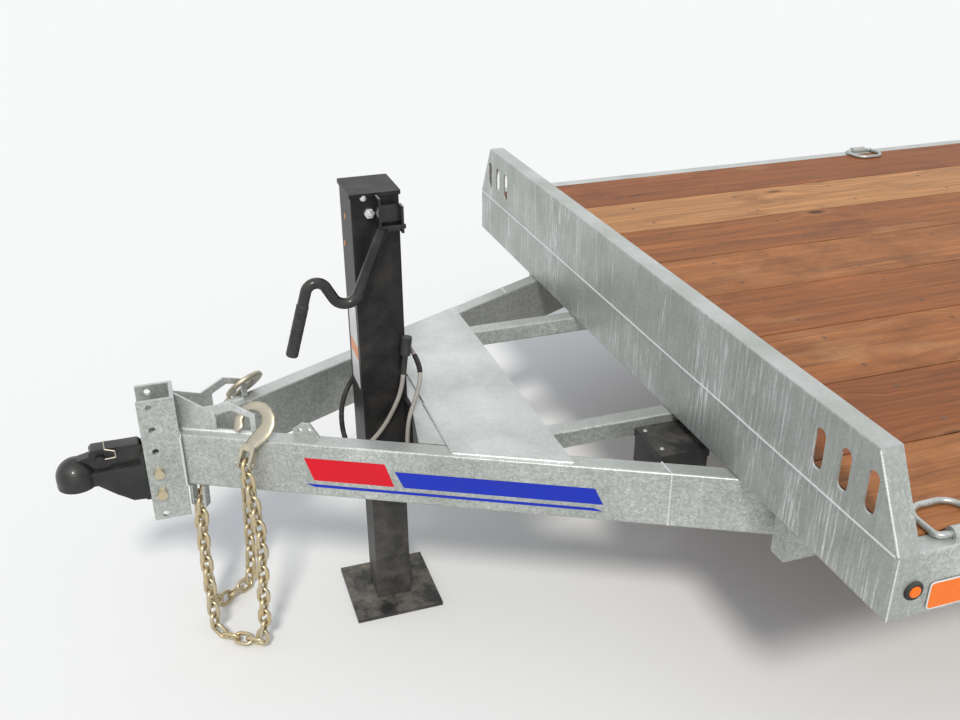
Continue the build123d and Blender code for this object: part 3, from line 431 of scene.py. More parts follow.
# %% Dust group
DUST = (0.42, 0.38, 0.32)
dust_group, given, out = shader_group("dust", {"Amount": 0.3, "Scale": 12.0}, [("Mask", "Float")])
tree = dust_group
patches = scaled(tree, noise(tree, place_of(tree), given["Scale"], 6.0, 0.7), 0.0, 1.0, 0.42, 0.72)
mask = times(tree, patches, scaled(tree, facing_up(tree), 0.3, 1.0, 0.1, 0.9))
feed(tree, out, Mask=times(tree, mask, given["Amount"]))
print("dust group", [socket.name for socket in given if socket.name])

# %% [markdown]
# One function makes every dusty finish. It mixes the finish's own colour with a second one by a noise,
# lays dust over it, and gives the surface the fine unevenness that paint, cast iron or rubber has. rough
# is its lowest and highest roughness, and tooth the scale, strength and depth of the unevenness. A gloss
# coat is a fixed amount, so it is set on the shader's own socket.

# %% Painted, cast and moulded finishes
def coated(name, colour, second, rough, dust, tooth,
           spread=6.0, metallic=0.0, coat=0.0, sheen=0.0, shine=0.5):
    made, tree, bsdf = material(name, colour, Metallic=metallic, Coat_Weight=coat, Sheen_Weight=sheen,
                                Specular_IOR_Level=shine)
    coords = place_of(tree)
    drift = scaled(tree, noise(tree, coords, spread, 5.0, 0.6), 0.0, 1.0, 0.35, 0.68)
    scale, strength, depth = tooth
    uneven = noise(tree, coords, scale, 4.0, 0.6)
    mask = put(tree, "ShaderNodeGroup", {"Amount": dust}, node_tree=dust_group)
    feed(tree, bsdf, Base_Color=tinted(tree, mask, tinted(tree, drift, colour, second), DUST),
         Roughness=maths(tree, "ADD", scaled(tree, uneven, *rough), mask),
         Normal=bump(tree, uneven, strength, depth))
    return made


enamel = coated("black_enamel", (0.007, 0.007, 0.008), (0.014, 0.014, 0.015), (0.14, 0.26), 0.16,
                (60.0, 0.12, 0.4), coat=0.25, shine=0.3)
jack_paint = coated("jack_enamel", (0.007, 0.007, 0.008), (0.016, 0.015, 0.015), (0.34, 0.5), 0.16,
                    (80.0, 0.15, 0.3), shine=0.22)
leg_paint = coated("leg_enamel", (0.018, 0.018, 0.019), (0.045, 0.043, 0.040), (0.34, 0.54), 0.5,
                   (90.0, 0.2, 0.4), shine=0.3)
cast_paint = coated("cast_black", (0.009, 0.009, 0.010), (0.020, 0.020, 0.019), (0.24, 0.44), 0.14,
                    (420.0, 0.55, 0.6), coat=0.2, shine=0.35)
chain_zinc = coated("gold_zinc", (0.60, 0.47, 0.25), (0.52, 0.48, 0.37), (0.22, 0.42), 0.18,
                    (260.0, 0.22, 0.3), spread=26.0, metallic=0.85)
hook_zinc = coated("hook_zinc", (0.50, 0.45, 0.33), (0.37, 0.36, 0.32), (0.26, 0.46), 0.2,
                   (150.0, 0.5, 0.7), spread=22.0, metallic=0.82)
rubber = coated("black_rubber", (0.012, 0.012, 0.013), (0.022, 0.022, 0.021), (0.5, 0.72), 0.2,
                (240.0, 0.2, 0.3), shine=0.25)
tyre_rubber = coated("tyre_rubber", (0.022, 0.022, 0.023), (0.036, 0.035, 0.034), (0.62, 0.85), 0.3,
                     (150.0, 0.3, 0.5), spread=4.0, sheen=0.1)
cable_skin = coated("cable_grey", (0.36, 0.335, 0.30), (0.27, 0.25, 0.225), (0.38, 0.55), 0.2,
                    (500.0, 0.15, 0.2), spread=14.0)
box_plastic = coated("black_plastic", (0.020, 0.020, 0.021), (0.032, 0.032, 0.032), (0.34, 0.5), 0.2,
                     (900.0, 0.5, 0.25), shine=0.25)
wheel_paint = coated("silver_paint", (0.58, 0.59, 0.60), (0.50, 0.51, 0.52), (0.26, 0.4), 0.35,
                     (500.0, 0.1, 0.15), metallic=0.65, coat=0.2)
pale_steel = coated("pale_steel", (0.72, 0.73, 0.73), (0.60, 0.61, 0.62), (0.24, 0.4), 0.15,
                    (300.0, 0.15, 0.2), metallic=0.85)
print("finishes", len(bpy.data.materials))

# %% [markdown]
# A lamp's lens is clear plastic dyed right through, with fine ribs moulded on its back that spread the
# light. Real refraction needs a bulb behind it, and from outside the ribs only show as soft bands, so the
# lens is a dyed plastic with crossed waves in its bump and a lighter colour where the two waves peak: a
# painted glint of the light that the ribs catch.

# %% Lenses
LENS_RIBS = 62.0


def lens(name, thin, thick):
    made, tree, bsdf = material(name, thin, Coat_Weight=0.2, Specular_IOR_Level=0.2)
    wave = {"Vector": place_of(tree), "Scale": LENS_RIBS}
    ribs, rows = [put(tree, "ShaderNodeTexWave", wave, "Fac", bands_direction=axis) for axis in "XZ"]
    prism_and_glint = times(tree, ribs, rows)
    # thick is the lighter colour on the waves' peaks, and it is a painted glint.
    feed(tree, bsdf, Base_Color=tinted(tree, prism_and_glint, thin, thick),
         Roughness=scaled(tree, prism_and_glint, 0.16, 0.3), Normal=bump(tree, prism_and_glint, 0.5, 0.8))
    return made


amber = lens("amber_lens", (0.76, 0.135, 0.001), (0.88, 0.21, 0.004))
red = lens("red_lens", (0.42, 0.008, 0.008), (0.62, 0.03, 0.02))
print("lenses", amber.name, red.name)

# %% [markdown]
# The frame's own pieces take their finish from the slot that the record gives them. A few differ from the
# rest of their slot: sheet and plate drained in another way than tube, the jack's housing is duller than
# the small black pieces, and its leg slides in and out and is scuffed grey by dust.

# %% Finishes on the frame's own pieces
looks = {"galvanised": zinc_tube, "planks": timber, "tyre": tyre_rubber, "wheel": wheel_paint,
         "black_enamel": enamel, "cast_black": cast_paint, "gold_zinc": chain_zinc,
         "cable_grey": cable_skin, "black_plastic": box_plastic, "black_rubber": rubber,
         "amber_lens": amber, "red_lens": red}
own_looks = {"bulkhead": zinc_sheet, "front_header": zinc_sheet, "tongue_plate": zinc_plate,
             "hook_plates": zinc_plate, "jack_plate": zinc_plate, "cable_bracket": zinc_plate,
             "jack_housing": jack_paint, "jack_leg": leg_paint, "jack_foot": leg_paint}
slots = {row["node"]: row["material_slot"] for row in frame["record"]["subparts"]}
for name, node in frame["nodes"].items():
    node.data.materials.clear()
    node.data.materials.append(own_looks.get(name, looks[slots[name]]))
print("slots", sorted(set(slots.values())))

# %% [markdown]
# The trailer stands on a plain pale floor under a soft sky and one broad key light. The floor is a flat
# sheet, not part of the object. Its colour, not extra light, makes it pale. The world shows a paler
# backdrop to the camera and to reflections than the light it gives, and Light Path tells which ray is
# asking.

# %% Floor, light and world
CORNERS = ((-1, -1), (1, -1), (1, 1), (-1, 1))
FLOOR_HALF = 40.0
KEY_TURN = (42, 12, 150)
KEY_BREADTH = 9
floor_mesh = bpy.data.meshes.new("floor")
floor_mesh.from_pydata([(x * FLOOR_HALF, y * FLOOR_HALF, 0) for x, y in CORNERS], [], [(0, 1, 2, 3)])
floor_mesh.materials.append(material("pale_floor", (0.80, 0.80, 0.79), Roughness=0.9)[0])
stand("floor", floor_mesh)
world = bpy.data.worlds.new("studio")
world.use_nodes = True
bpy.context.scene.world = world
tree = world.node_tree
sky = tree.nodes["Background"]
feed(tree, sky, Color=(0.87, 0.91, 0.97), Strength=0.78)
backdrop = put(tree, "ShaderNodeBackground", {"Color": (0.93, 0.94, 0.95), "Strength": 1.0})
camera_ray = put(tree, "ShaderNodeLightPath", {}, "Is Camera Ray")
seen = maths(tree, "MAXIMUM", camera_ray, camera_ray.node.outputs["Is Glossy Ray"])
both = put(tree, "ShaderNodeMixShader", {0: seen, 1: sky.outputs["Background"], 2: backdrop})
feed(tree, tree.nodes["World Output"], Surface=both)
key_light = bpy.data.lights.new("key", "SUN")
key_light.energy = 2.1
key_light.angle = math.radians(KEY_BREADTH)
key_light.color = (1.0, 0.965, 0.91)
stand("key", key_light).rotation_euler = [math.radians(turn) for turn in KEY_TURN]
print("floor", 2 * FLOOR_HALF, "m, key light", key_light.energy)

# %% [markdown]
# Most added pieces are made in mesh code from a few shapes. A skin joins rings of points, as a loft does.
# A bar is a skin round a path, a turned shape is a skin round an axis, and a slab is an outline with a
# thickness. Each helper adds to an open bmesh, so one piece can hold several of them.

# %% Shapes for mesh code
def skin(bm, rings, looped=False):
    loops = [[bm.verts.new(point) for point in ring] for ring in rings]
    sides = len(loops[0])
    pairs = list(zip(loops, loops[1:]))
    if looped:
        pairs.append((loops[-1], loops[0]))
    for low, high in pairs:
        for n in range(sides):
            m = (n + 1) % sides
            bm.faces.new((low[n], low[m], high[m], high[n]))
    if not looped:
        bm.faces.new(list(reversed(loops[0])))
        bm.faces.new(loops[-1])


def square_to(way):
    return way.cross(UP if abs(way.z) < 0.8 else AHEAD).normalized()


def around(steps):
    return [2 * math.pi * n / steps for n in range(steps)]


def round_ring(centre, side, other, radius, sides):
    return [centre + (side * math.cos(t) + other * math.sin(t)) * radius for t in around(sides)]


def bar(bm, points, radius, sides=12, looped=False, normal=None):
    points = [Vector(p) for p in points]
    last = len(points) - 1
    side = normal
    rings = []
    for n, point in enumerate(points):
        before = points[n - 1] if n or looped else points[0]
        after = points[(n + 1) % (last + 1)] if n < last or looped else points[last]
        way = (after - before).normalized()
        side = square_to(way) if side is None else (side - way * side.dot(way)).normalized()
        thick = radius[n] if isinstance(radius, list) else radius
        rings.append(round_ring(point, side, way.cross(side), thick, sides))
    skin(bm, rings, looped)


def turned(bm, start, way, profile, sides=20):
    """A profile of (distance along, radius) pairs, turned about the line that starts there."""
    way = way.normalized()
    side = square_to(way)
    skin(bm, [round_ring(Vector(start) + way * along, side, way.cross(side), radius, sides)
              for along, radius in profile])


def hexagon(bm, start, way, across, deep):
    half = across / 2
    turned(bm, start, way, [(0, half - 0.6), (0.6, half), (deep - 0.8, half), (deep, half - 0.8)], 6)


def slab(bm, outline, thickness):
    skin(bm, [[Vector(p) for p in outline], [Vector(p) + thickness for p in outline]])


def rounded_box(low_a, high_a, low_b, high_b, radius):
    """A flat outline with round corners, as pairs of numbers."""
    outline = []
    corners = ((high_a - radius, high_b - radius, 0), (low_a + radius, high_b - radius, 90),
               (low_a + radius, low_b + radius, 180), (high_a - radius, low_b + radius, 270))
    for a, b, start in corners:
        for n in range(6):
            t = math.radians(start + n * 18)
            outline.append((a + radius * math.cos(t), b + radius * math.sin(t)))
    return outline


def bent(corners, radius, steps=7):
    """A path with each corner rounded: two straight runs and an arc between them."""
    corners = [Vector(c) for c in corners]
    path = [corners[0]]
    for before, corner, after in zip(corners, corners[1:], corners[2:]):
        back = (before - corner).normalized()
        on = (after - corner).normalized()
        half = back.angle(on) / 2
        reach = radius / math.tan(half)
        centre = corner + (back + on).normalized() * radius / math.sin(half)
        first = corner + back * reach - centre
        second = corner + on * reach - centre
        path += [centre + first.slerp(second, n / steps) for n in range(steps + 1)]
    path.append(corners[-1])
    return path


def both_sides(bm):
    """The same shape again, mirrored to the right side. mesh_from() then turns its faces outwards."""
    copy = bmesh.ops.duplicate(bm, geom=bm.verts[:] + bm.edges[:] + bm.faces[:])
    for item in copy["geom"]:
        if isinstance(item, bmesh.types.BMVert):
            item.co.y = -item.co.y


def mesh_from(bm, name, placed):
    """A closed mesh in metres, with its faces outwards. placed() says where each point goes."""
    bmesh.ops.remove_doubles(bm, verts=bm.verts, dist=0.001)
    bmesh.ops.recalc_face_normals(bm, faces=bm.faces)
    for vert in bm.verts:
        vert.co = placed(vert.co)
    mesh = bpy.data.meshes.new(name)
    bm.to_mesh(mesh)
    bm.free()
    return mesh


def smoothed(mesh, sharp=35.0):
    mesh.shade_smooth()
    mesh.set_sharp_from_angle(angle=math.radians(sharp))
    return mesh


def ridden(name, mesh, slot, body="root", stands_for=()):
    made = stand(name, mesh)
    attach(made, body)
    if stands_for:
        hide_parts(*stands_for)
    return made


def piece(name, bm, finish, slot, sharp=35.0, **more):
    """The shape, in millimetres from the bed, becomes a piece of the trailer."""
    mesh = smoothed(mesh_from(bm, name, lambda co: at(*co)), sharp)
    mesh.materials.append(finish)
    return ridden(name, mesh, slot, **more)


print("shapes ready")

# %% [markdown]
# Screws, nuts, links and tread blocks repeat hundreds of times, so Geometry Nodes place them. The tree
# takes a cloud of points that carry a turn, puts the pattern on each, and makes the result real. A turn
# is three Euler angles in an attribute, because a point has a place but no direction of its own.

# %% Repeat with Geometry Nodes
def mesh_tree(name, inputs):
    geometry = ("Geometry", "Geometry")
    return open_tree(name, "GeometryNodeTree", [geometry, *inputs], [geometry])


def finished(tree, given, out, geometry):
    real = put(tree, "GeometryNodeRealizeInstances", {"Geometry": geometry})
    dressed = {"Geometry": real, "Material": given["Finish"]}
    feed(tree, out, Geometry=put(tree, "GeometryNodeSetMaterial", dressed))


repeat_tree, given, out = mesh_tree("repeat_pattern", [("Pattern", "Object"), ("Size", "Float"),
                                                       ("Finish", "Material")])
tree = repeat_tree
turn = put(tree, "GeometryNodeInputNamedAttribute", {"Name": "turn"}, data_type="FLOAT_VECTOR")
instance = {"Points": put(tree, "GeometryNodeMeshToPoints", {"Mesh": given["Geometry"]}),
            "Instance": put(tree, "GeometryNodeObjectInfo", {"Object": given["Pattern"]}, "Geometry"),
            "Rotation": put(tree, "FunctionNodeEulerToRotation", {"Euler": turn}), "Scale": given["Size"]}
finished(tree, given, out, put(tree, "GeometryNodeInstanceOnPoints", instance))


def by_nodes(name, mesh, tree, values):
    """The mesh after the tree, as a plain mesh. Inputs are set by identifier, before it is evaluated."""
    carrier = stand(name, mesh)
    modifier = carrier.modifiers.new(name, "NODES")
    modifier.node_group = tree
    for item in tree.interface.items_tree:
        if item.in_out == "INPUT" and item.name in values:
            modifier[item.identifier] = values[item.name]
    depsgraph = bpy.context.evaluated_depsgraph_get()
    result = bpy.data.meshes.new_from_object(carrier.evaluated_get(depsgraph), depsgraph=depsgraph)
    bpy.data.objects.remove(carrier)
    result.name = name
    return result


def repeated(name, places, pattern_mesh, finish, slot, sharp=35.0, **more):
    """places holds (point in mm, turn matrix) pairs; the pattern is a mesh round its own origin."""
    points = bpy.data.meshes.new(name + "_points")
    points.from_pydata([at(*point) for point, turn in places], [], [])
    turns = points.attributes.new("turn", "FLOAT_VECTOR", "POINT")
    for row, (point, turn) in zip(turns.data, places):
        row.vector = turn.to_euler()
    pattern = stand(name + "_pattern", pattern_mesh)
    mesh = by_nodes(name, points, repeat_tree, {"Pattern": pattern, "Size": 1.0, "Finish": finish})
    bpy.data.objects.remove(pattern)
    return ridden(name, smoothed(mesh, sharp), slot, **more)


def pattern_from(bm, name):
    return mesh_from(bm, name, lambda co: co * MM)


def facing(out, up=None):
    """A turn that takes a pattern's Z along out, and its X as near to up as it can."""
    first = square_to(out) if up is None else (up - out * out.dot(up)).normalized()
    return Matrix((first, out.cross(first), out)).transposed()


print("repeat inputs", [socket.name for socket in given if socket.name])

# %% [markdown]
# A short run of chain hangs on each side: it drops from the hook to the ground and climbs back to its
# anchor. A simulation could let it fall, but a route through a few places is enough and comes out the
# same each time. The links lie on it 38 mm apart, so walking the route gives their places.

# %% Where the chain goes
FLOOR_Z = -665.0
FLOOR_GAP = 0.4
WIRE = 5.5
LINK_STEP = 38.0
LINK_STRAIGHT = 10.55
LINK_BEND = 14.25
LINK_REST = FLOOR_Z + LINK_BEND + WIRE + FLOOR_GAP
PLATE_INWARD = 34.0
PLATE_THICK = 6.35
HOOK_TURN = math.radians(82)
HOOK_LEAN = math.radians(41)
HOOK_X = 1055.0
HOOK_Z = 60.0
HOOK_SET = 14.0
PIN_U = 10.0
PIN_V = -137.0
hook_across = TUBE_OUT * math.cos(HOOK_TURN) + TUBE_WAY * math.sin(HOOK_TURN)
hook_face = hook_across.cross(UP)
hook_up = UP * math.cos(HOOK_LEAN) - hook_face * math.sin(HOOK_LEAN)
hook_out = hook_face * math.cos(HOOK_LEAN) + UP * math.sin(HOOK_LEAN)
hook_origin = on_tube(HOOK_X, PLATE_INWARD - PLATE_THICK / 2, HOOK_Z) - TUBE_OUT * HOOK_SET


def on_hook(u, v, w=0.0):
    return hook_origin + hook_across * u + hook_up * v + hook_out * w


def walk(route, step):
    rest = [Vector(p) for p in route]
    points = [rest.pop(0)]
    while rest:
        gap = rest[0] - points[-1]
        if gap.length < step:
            rest.pop(0)
        else:
            points.append(points[-1] + gap.normalized() * step)
    return points


hook_pin = on_hook(PIN_U, PIN_V)
chain_route = [hook_pin + UP * WIRE, hook_pin - UP * 60, (1074, 162, -300), (1096, 148, -600),
               (1108, 139, LINK_REST), (1226, 60, LINK_REST), (1238, 52, -600), (1222, 50, -350),
               (1210, 48, -174)]
chain_points = walk(chain_route, LINK_STEP)
print("links a side", len(chain_points) - 1, "hook pin", tuple(round(c) for c in hook_pin))

# %% [markdown]
# One link is a round bar bent to a stadium and butt-welded on one side. The pattern is that ring, with a
# slight swelling at the weld. Its length lies along X and its flat side looks along Z, so its turn comes
# from the chain's direction and the pin's own axis, made square to it. Every second link is turned by a
# quarter, and the tree puts one smooth link on each place.

# %% Chain links
BEND_STEPS = 12
# The weld is on one long side of the link, and swells the bar a little.
WELD_SWELL = 0.55
WELD_SIDE = 13
WELD_HALF = 11


def link_pattern():
    bm = bmesh.new()
    path = []
    for end in (1, -1):
        for n in range(BEND_STEPS + 1):
            t = math.pi * (n / BEND_STEPS - 0.5)
            x = LINK_STRAIGHT + LINK_BEND * math.cos(t)
            path.append((end * x, end * LINK_BEND * math.sin(t), 0))
    thick = [WIRE + WELD_SWELL * (y > WELD_SIDE and abs(x) < WELD_HALF) for x, y, z in path]
    bar(bm, path, thick, 10, looped=True, normal=UP)
    return pattern_from(bm, "chain_link")


def link_places(points, pin_axis):
    places = []
    for n, (a, b) in enumerate(zip(points, points[1:])):
        ahead = (b - a).normalized()
        side = (pin_axis - ahead * ahead.dot(pin_axis)).normalized()
        places.append(((a + b) / 2, facing(ahead.cross(side) if n % 2 else side, ahead)))
    return places


one_link = link_pattern()
for name, points, axis in (("left", chain_points, hook_across),
                           ("right", mirrored(chain_points), mirrored([hook_across])[0])):
    places = link_places(points, axis)
    links = repeated("chain_links_" + name, places, one_link, chain_zinc, "gold_zinc", 60.0,
                     stands_for=["safety_chain_" + name])
    print("chain", name, len(links.data.polygons), "faces")

# %% [markdown]
# The hook is drop-forged: a flat, swelling body that is thinnest at its point and thickest in the bend. A
# loft through rings that follow its middle line gives that swelling, which a swept bar would not. Each
# ring is a rounded oblong, as wide as the body is there. The clevis below it has two ears, a pin with a
# head, and a bent cotter.

# %% Forged hooks
# Each row is a point of the middle line, across and up, and the body's half width there.
HOOK_LINE = [(-36, -60, 5), (-35.5, -53, 11), (-33.5, -45, 15), (-36, -36.5, 13.5), (-38, -28, 12),
             (-34.5, -12, 11.2), (-25.7, 0.7, 11), (-13, 10, 12), (3, 13, 13), (20, 10, 15),
             (33.7, 0.7, 17), (43, -13, 19), (46, -29, 20), (42.5, -45, 20.7), (33.7, -58.7, 21),
             (23, -72, 19), (14, -86, 17), (10.5, -97, 14), (10, -106, 12)]
HOOK_HALF = 7.0
HOOK_THIN = 0.72
HOOK_FULL = 50
HOOK_SIDES = 20
OBLONG = 3.2
EAR = 8.0
EAR_TOP = 42
EAR_HALF = 11.0
EAR_ROUND = 13.0
EAR_TURNS = [math.radians(turn) for turn in range(-78, 79, 13)]
EAR_GAP = 15.0
YOKE_HALF = 10
YOKE = ((-19, 33), (19, 33), (19, 44), (12, 49), (-12, 49), (-19, 44))
PIN = [(0, 7.5), (1, 8.8), (3.5, 8.8), (4.5, 7.6), (4.6, WIRE), (48, WIRE), (49, 4.6)]
PIN_HEAD = 25
COTTER = ((0, 11), (0, 4), (0, -9), (5, -13))
COTTER_U = 22
COTTER_WIRE = 1.3


def squared(share):
    return math.copysign(abs(share) ** (2 / OBLONG), share)


def hook_ring(n):
    u, v, half = HOOK_LINE[n]
    before = HOOK_LINE[max(n - 1, 0)]
    after = HOOK_LINE[min(n + 1, len(HOOK_LINE) - 1)]
    way = Vector((after[0] - before[0], after[1] - before[1])).normalized()
    thick = HOOK_HALF * min(1.0, HOOK_THIN + half / HOOK_FULL)
    ring = []
    for t in around(HOOK_SIDES):
        wide = squared(math.cos(t)) * half
        ring.append(on_hook(u - way.y * wide, v + way.x * wide, squared(math.sin(t)) * thick))
    return ring


bm = bmesh.new()
skin(bm, [hook_ring(n) for n in range(len(HOOK_LINE))])
ear = [(PIN_V + EAR_TOP, EAR_HALF), (PIN_V + EAR_TOP, -EAR_HALF)]
ear += [(PIN_V - EAR_ROUND * math.cos(t), EAR_ROUND * math.sin(t)) for t in EAR_TURNS]
for side in (-1, 1):
    slab(bm, [on_hook(PIN_U + side * EAR_GAP - EAR / 2, v, w) for v, w in ear], hook_across * EAR)
slab(bm, [on_hook(PIN_U + u, PIN_V + v, -YOKE_HALF) for u, v in YOKE], hook_out * 2 * YOKE_HALF)
turned(bm, on_hook(PIN_U - PIN_HEAD, PIN_V), hook_across, PIN)
bar(bm, [on_hook(PIN_U + COTTER_U, PIN_V + v, w) for v, w in COTTER], COTTER_WIRE, 8)
both_sides(bm)
piece("forged_hooks", bm, hook_zinc, "gold_zinc", 50.0, stands_for=["chain_hooks"])
print("hooks dressed")

# %% [markdown]
# Weld beads are what makes a welded frame read as welded: a bright, rippled line along every joint. The
# ripple is the puddle freezing step by step. The tree resamples each seam every few millimetres, swells
# the radius in a sine along its length, and sweeps a small circle along it. Half of the bead is inside
# the steel.

# %% Weld beads
BEAD_SPACING = 2.2
BEAD_RIPPLE = 1.1
RIPPLE_SHARE = 0.16
BULKHEAD_IN = 97.2
BULKHEAD_TOP = 337.6
FOLD_IN = 1.6
PLATE_FRONT = 604.0
PLATE_BACK = 340.0
PLATE_IN = 12.0
PLATE_HALF = 90
HOOK_PLATE_X = 1062
HOOK_PLATE_TOP = 103
SPLICE_X = 136.0
bead_tree, given, out = mesh_tree("weld_bead", [("Bead", "Float"), ("Spacing", "Float"),
                                                ("Ripple", "Float"), ("Finish", "Material")])
tree = bead_tree
seam_curve = put(tree, "GeometryNodeMeshToCurve", {"Mesh": given["Geometry"]})
spaced = {"Curve": seam_curve, "Length": given["Spacing"]}
even = put(tree, "GeometryNodeResampleCurve", spaced, mode="LENGTH")
along = put(tree, "GeometryNodeSplineParameter", {}, "Length")
wave = maths(tree, "SINE", maths(tree, "DIVIDE", along, given["Ripple"]))
swell = put(tree, "ShaderNodeMath", {0: wave, 1: RIPPLE_SHARE, 2: 1.0}, operation="MULTIPLY_ADD")
section = put(tree, "GeometryNodeCurvePrimitiveCircle", {"Resolution": 8, "Radius": given["Bead"]})
sweep = {"Curve": even, "Profile Curve": section, "Scale": swell, "Fill Caps": True}
finished(tree, given, out, put(tree, "GeometryNodeCurveToMesh", sweep))


def weld(name, seams, bead):
    """Beads along straight seams, each a pair of places. A seam on the left side has its mirror image."""
    seams = seams + [mirrored(seam) for seam in seams if all(p[1] > 0 for p in seam)]
    ends = [at(*place) for seam in seams for place in seam]
    lines = bpy.data.meshes.new(name + "_lines")
    lines.from_pydata(ends, [(2 * n, 2 * n + 1) for n in range(len(seams))], [])
    mesh = by_nodes(name, lines, bead_tree, {"Bead": bead * MM, "Spacing": BEAD_SPACING * MM,
                                             "Ripple": BEAD_RIPPLE * MM, "Finish": zinc_bead})
    mesh.shade_smooth()
    ridden(name, mesh, "galvanised")
    print(name, len(seams), "seams", len(mesh.polygons), "faces")


weld("bead_header", [[(0.8, 6 - bed_half, deck_top), (0.8, bed_half - 6, deck_top)]], 2.6)
weld("bead_corners", [[(-3, bed_half - 1, 4), (-3, bed_half - 1, deck_top - 2)],
                      [(-FOLD_IN, bed_half - FOLD_IN, deck_top + 3),
                       (-FOLD_IN, bed_half - BULKHEAD_IN - FOLD_IN, BULKHEAD_TOP - 5)]], 2.4)
plate_corner = on_tube(PLATE_FRONT, PLATE_IN, 2) + AHEAD
weld("bead_tongue_plate", [[on_tube(x, PLATE_IN, 1) for x in (PLATE_BACK, PLATE_FRONT)],
                           [plate_corner, (PLATE_FRONT + 1, PLATE_HALF, 2)]], 3.4)
weld("bead_hook_plates", [[on_tube(x, inward, 1) for x in (HOOK_PLATE_X, TUBE_START - 1)]
                          for inward in (PLATE_INWARD, PLATE_INWARD - PLATE_THICK)]
     + [[on_tube(TUBE_START, PLATE_INWARD - 3, z) for z in (4, HOOK_PLATE_TOP)]], 3.4)
weld("bead_splice", [[on_tube(SPLICE_X, inward, 0.5) for inward in (47, 4)],
                     [on_tube(SPLICE_X, -0.5, z) for z in (-4, 4 - TUBE_DEEP)]], 3.0)
weld("bead_channel", [[(TUBE_START + 0.5, 49, z) for z in (4 - TUBE_DEEP, -4)],
                      [(TUBE_START + 0.5, y, -1) for y in (47, 8)]], 3.8)

# %% [markdown]
# The jack is a square tube in a larger square tube. On its front face sit two copper plugs and a blank
# label, on its left side a bolt and a nut that hold the gearbox. Each is turned about its own axis. The
# label is a thin film with round corners, and one orange band is all that is printed on it.

# %% Jack details
JACK_FRONT = 764.5
JACK_SIDE = 71.5
JACK_PLUGS = ((-12, 515), (-38, 434.5))
GEAR_BOLT = (721, JACK_SIDE - 2, 545)
GEAR_NUT = (733, JACK_SIDE - 2, 584)
PLUG = [(0, 8), (2.6, 8), (3.4, 7.2), (3.6, 5.4), (2.8, 5.0), (2.8, 2.0)]
BOLT_SHANK = [(0, 7), (15, 7), (16.5, 5.6)]
ROUND_NUT = [(0, 9.5), (3, 9.5), (5, 8.4), (6.2, 5.6), (6.4, 2.0)]
FILM = 0.5
copper = coated("copper_plug", (0.62, 0.30, 0.16), (0.48, 0.25, 0.15), (0.25, 0.4), 0.15,
                (400.0, 0.2, 0.2), metallic=0.9)
label_film = coated("label_film", (0.70, 0.70, 0.68), (0.62, 0.62, 0.60), (0.3, 0.42), 0.2,
                    (200.0, 0.05, 0.1))
label_orange = coated("label_orange", (0.80, 0.22, 0.03), (0.70, 0.20, 0.04), (0.3, 0.42), 0.2,
                      (200.0, 0.05, 0.1))
bm = bmesh.new()
for y, z in JACK_PLUGS:
    turned(bm, (JACK_FRONT - 2, y, z), AHEAD, PLUG)
piece("jack_plugs", bm, copper, "gold_zinc")
bm = bmesh.new()
hexagon(bm, GEAR_BOLT, LEFT, 27, 12)
turned(bm, GEAR_BOLT, LEFT, BOLT_SHANK)
turned(bm, GEAR_NUT, LEFT, ROUND_NUT)
piece("jack_bolts", bm, pale_steel, "gold_zinc")
# Each film is its box across and up, its corners' radius, how far it stands out, and its finish.
FILMS = (("jack_label", (-45, 45, 50, 285), 3.0, -0.2, label_film),
         ("jack_label_band", (-44, 44, 135, 172), 0.4, 0.15, label_orange))
for name, box, corner, lift, finish in FILMS:
    bm = bmesh.new()
    slab(bm, [(JACK_FRONT + lift, y, z) for y, z in rounded_box(*box, corner)], AHEAD * FILM)
    piece(name, bm, finish, "black_enamel")
print("jack dressed")

# %% [markdown]
# The crank is a bent steel rod with a loose grip over its last run. The rod itself stands in the frame,
# so only the grip is added: a sleeve of soft plastic that starts half way down and closes over the end.
# It is one turned profile, and its rings of grooves keep a hand from slipping.

# %% Crank grip
CRANK_TOP = Vector((878, 112, 439))
CRANK_END = Vector((945, 112, 210))
GRIP_FROM = 0.42
GRIP_RADIUS = 15.6
GROOVE = 0.9
GROOVE_STEPS = ((0, 0), (1.2, GROOVE), (3.2, GROOVE), (4.4, 0))
GROOVES = 5
GROOVES_FROM = 10
GROOVES_SHORT = 24
grip_start = CRANK_TOP.lerp(CRANK_END, GRIP_FROM)
grip_long = (CRANK_END - grip_start).length
grip_profile = [(0, GRIP_RADIUS - 1.5), (1.5, GRIP_RADIUS)]
for n in range(GROOVES):
    start = GROOVES_FROM + n * (grip_long - GROOVES_SHORT) / GROOVES
    grip_profile += [(start + step, GRIP_RADIUS - deep) for step, deep in GROOVE_STEPS]
grip_profile += [(grip_long - 3, GRIP_RADIUS), (grip_long + 0.2, GRIP_RADIUS - 2.4), (grip_long + 1.2, 9),
                 (grip_long + 1.3, 3)]
bm = bmesh.new()
turned(bm, grip_start, CRANK_END - CRANK_TOP, grip_profile, 28)
piece("crank_grip", bm, box_plastic, "black_plastic")
print("grip", round(grip_long), "mm long")

# %% [markdown]
# A wire bail holds the coupler's latch shut. It is one piece of sprung wire. A curve with a bevel would
# do, but each of its corners would need handles, so it is a bar along a path whose corners are rounded by
# a function.

# %% Latch bail
BAIL_WIRE = 1.9
BAIL_BEND = 7
BAIL_CORNERS = [(1440, 27, -45), (1396, 27, -50), (1396, 27, -18), (1432, 27, -20), (1436, -27, -20),
                (1396, -27, -18), (1396, -27, -50), (1440, -27, -45)]
bail = bent(BAIL_CORNERS, BAIL_BEND)
bm = bmesh.new()
bar(bm, bail, BAIL_WIRE, 10)
piece("latch_bail", bm, hook_zinc, "gold_zinc", 60.0)
print("bail", len(bail), "points")

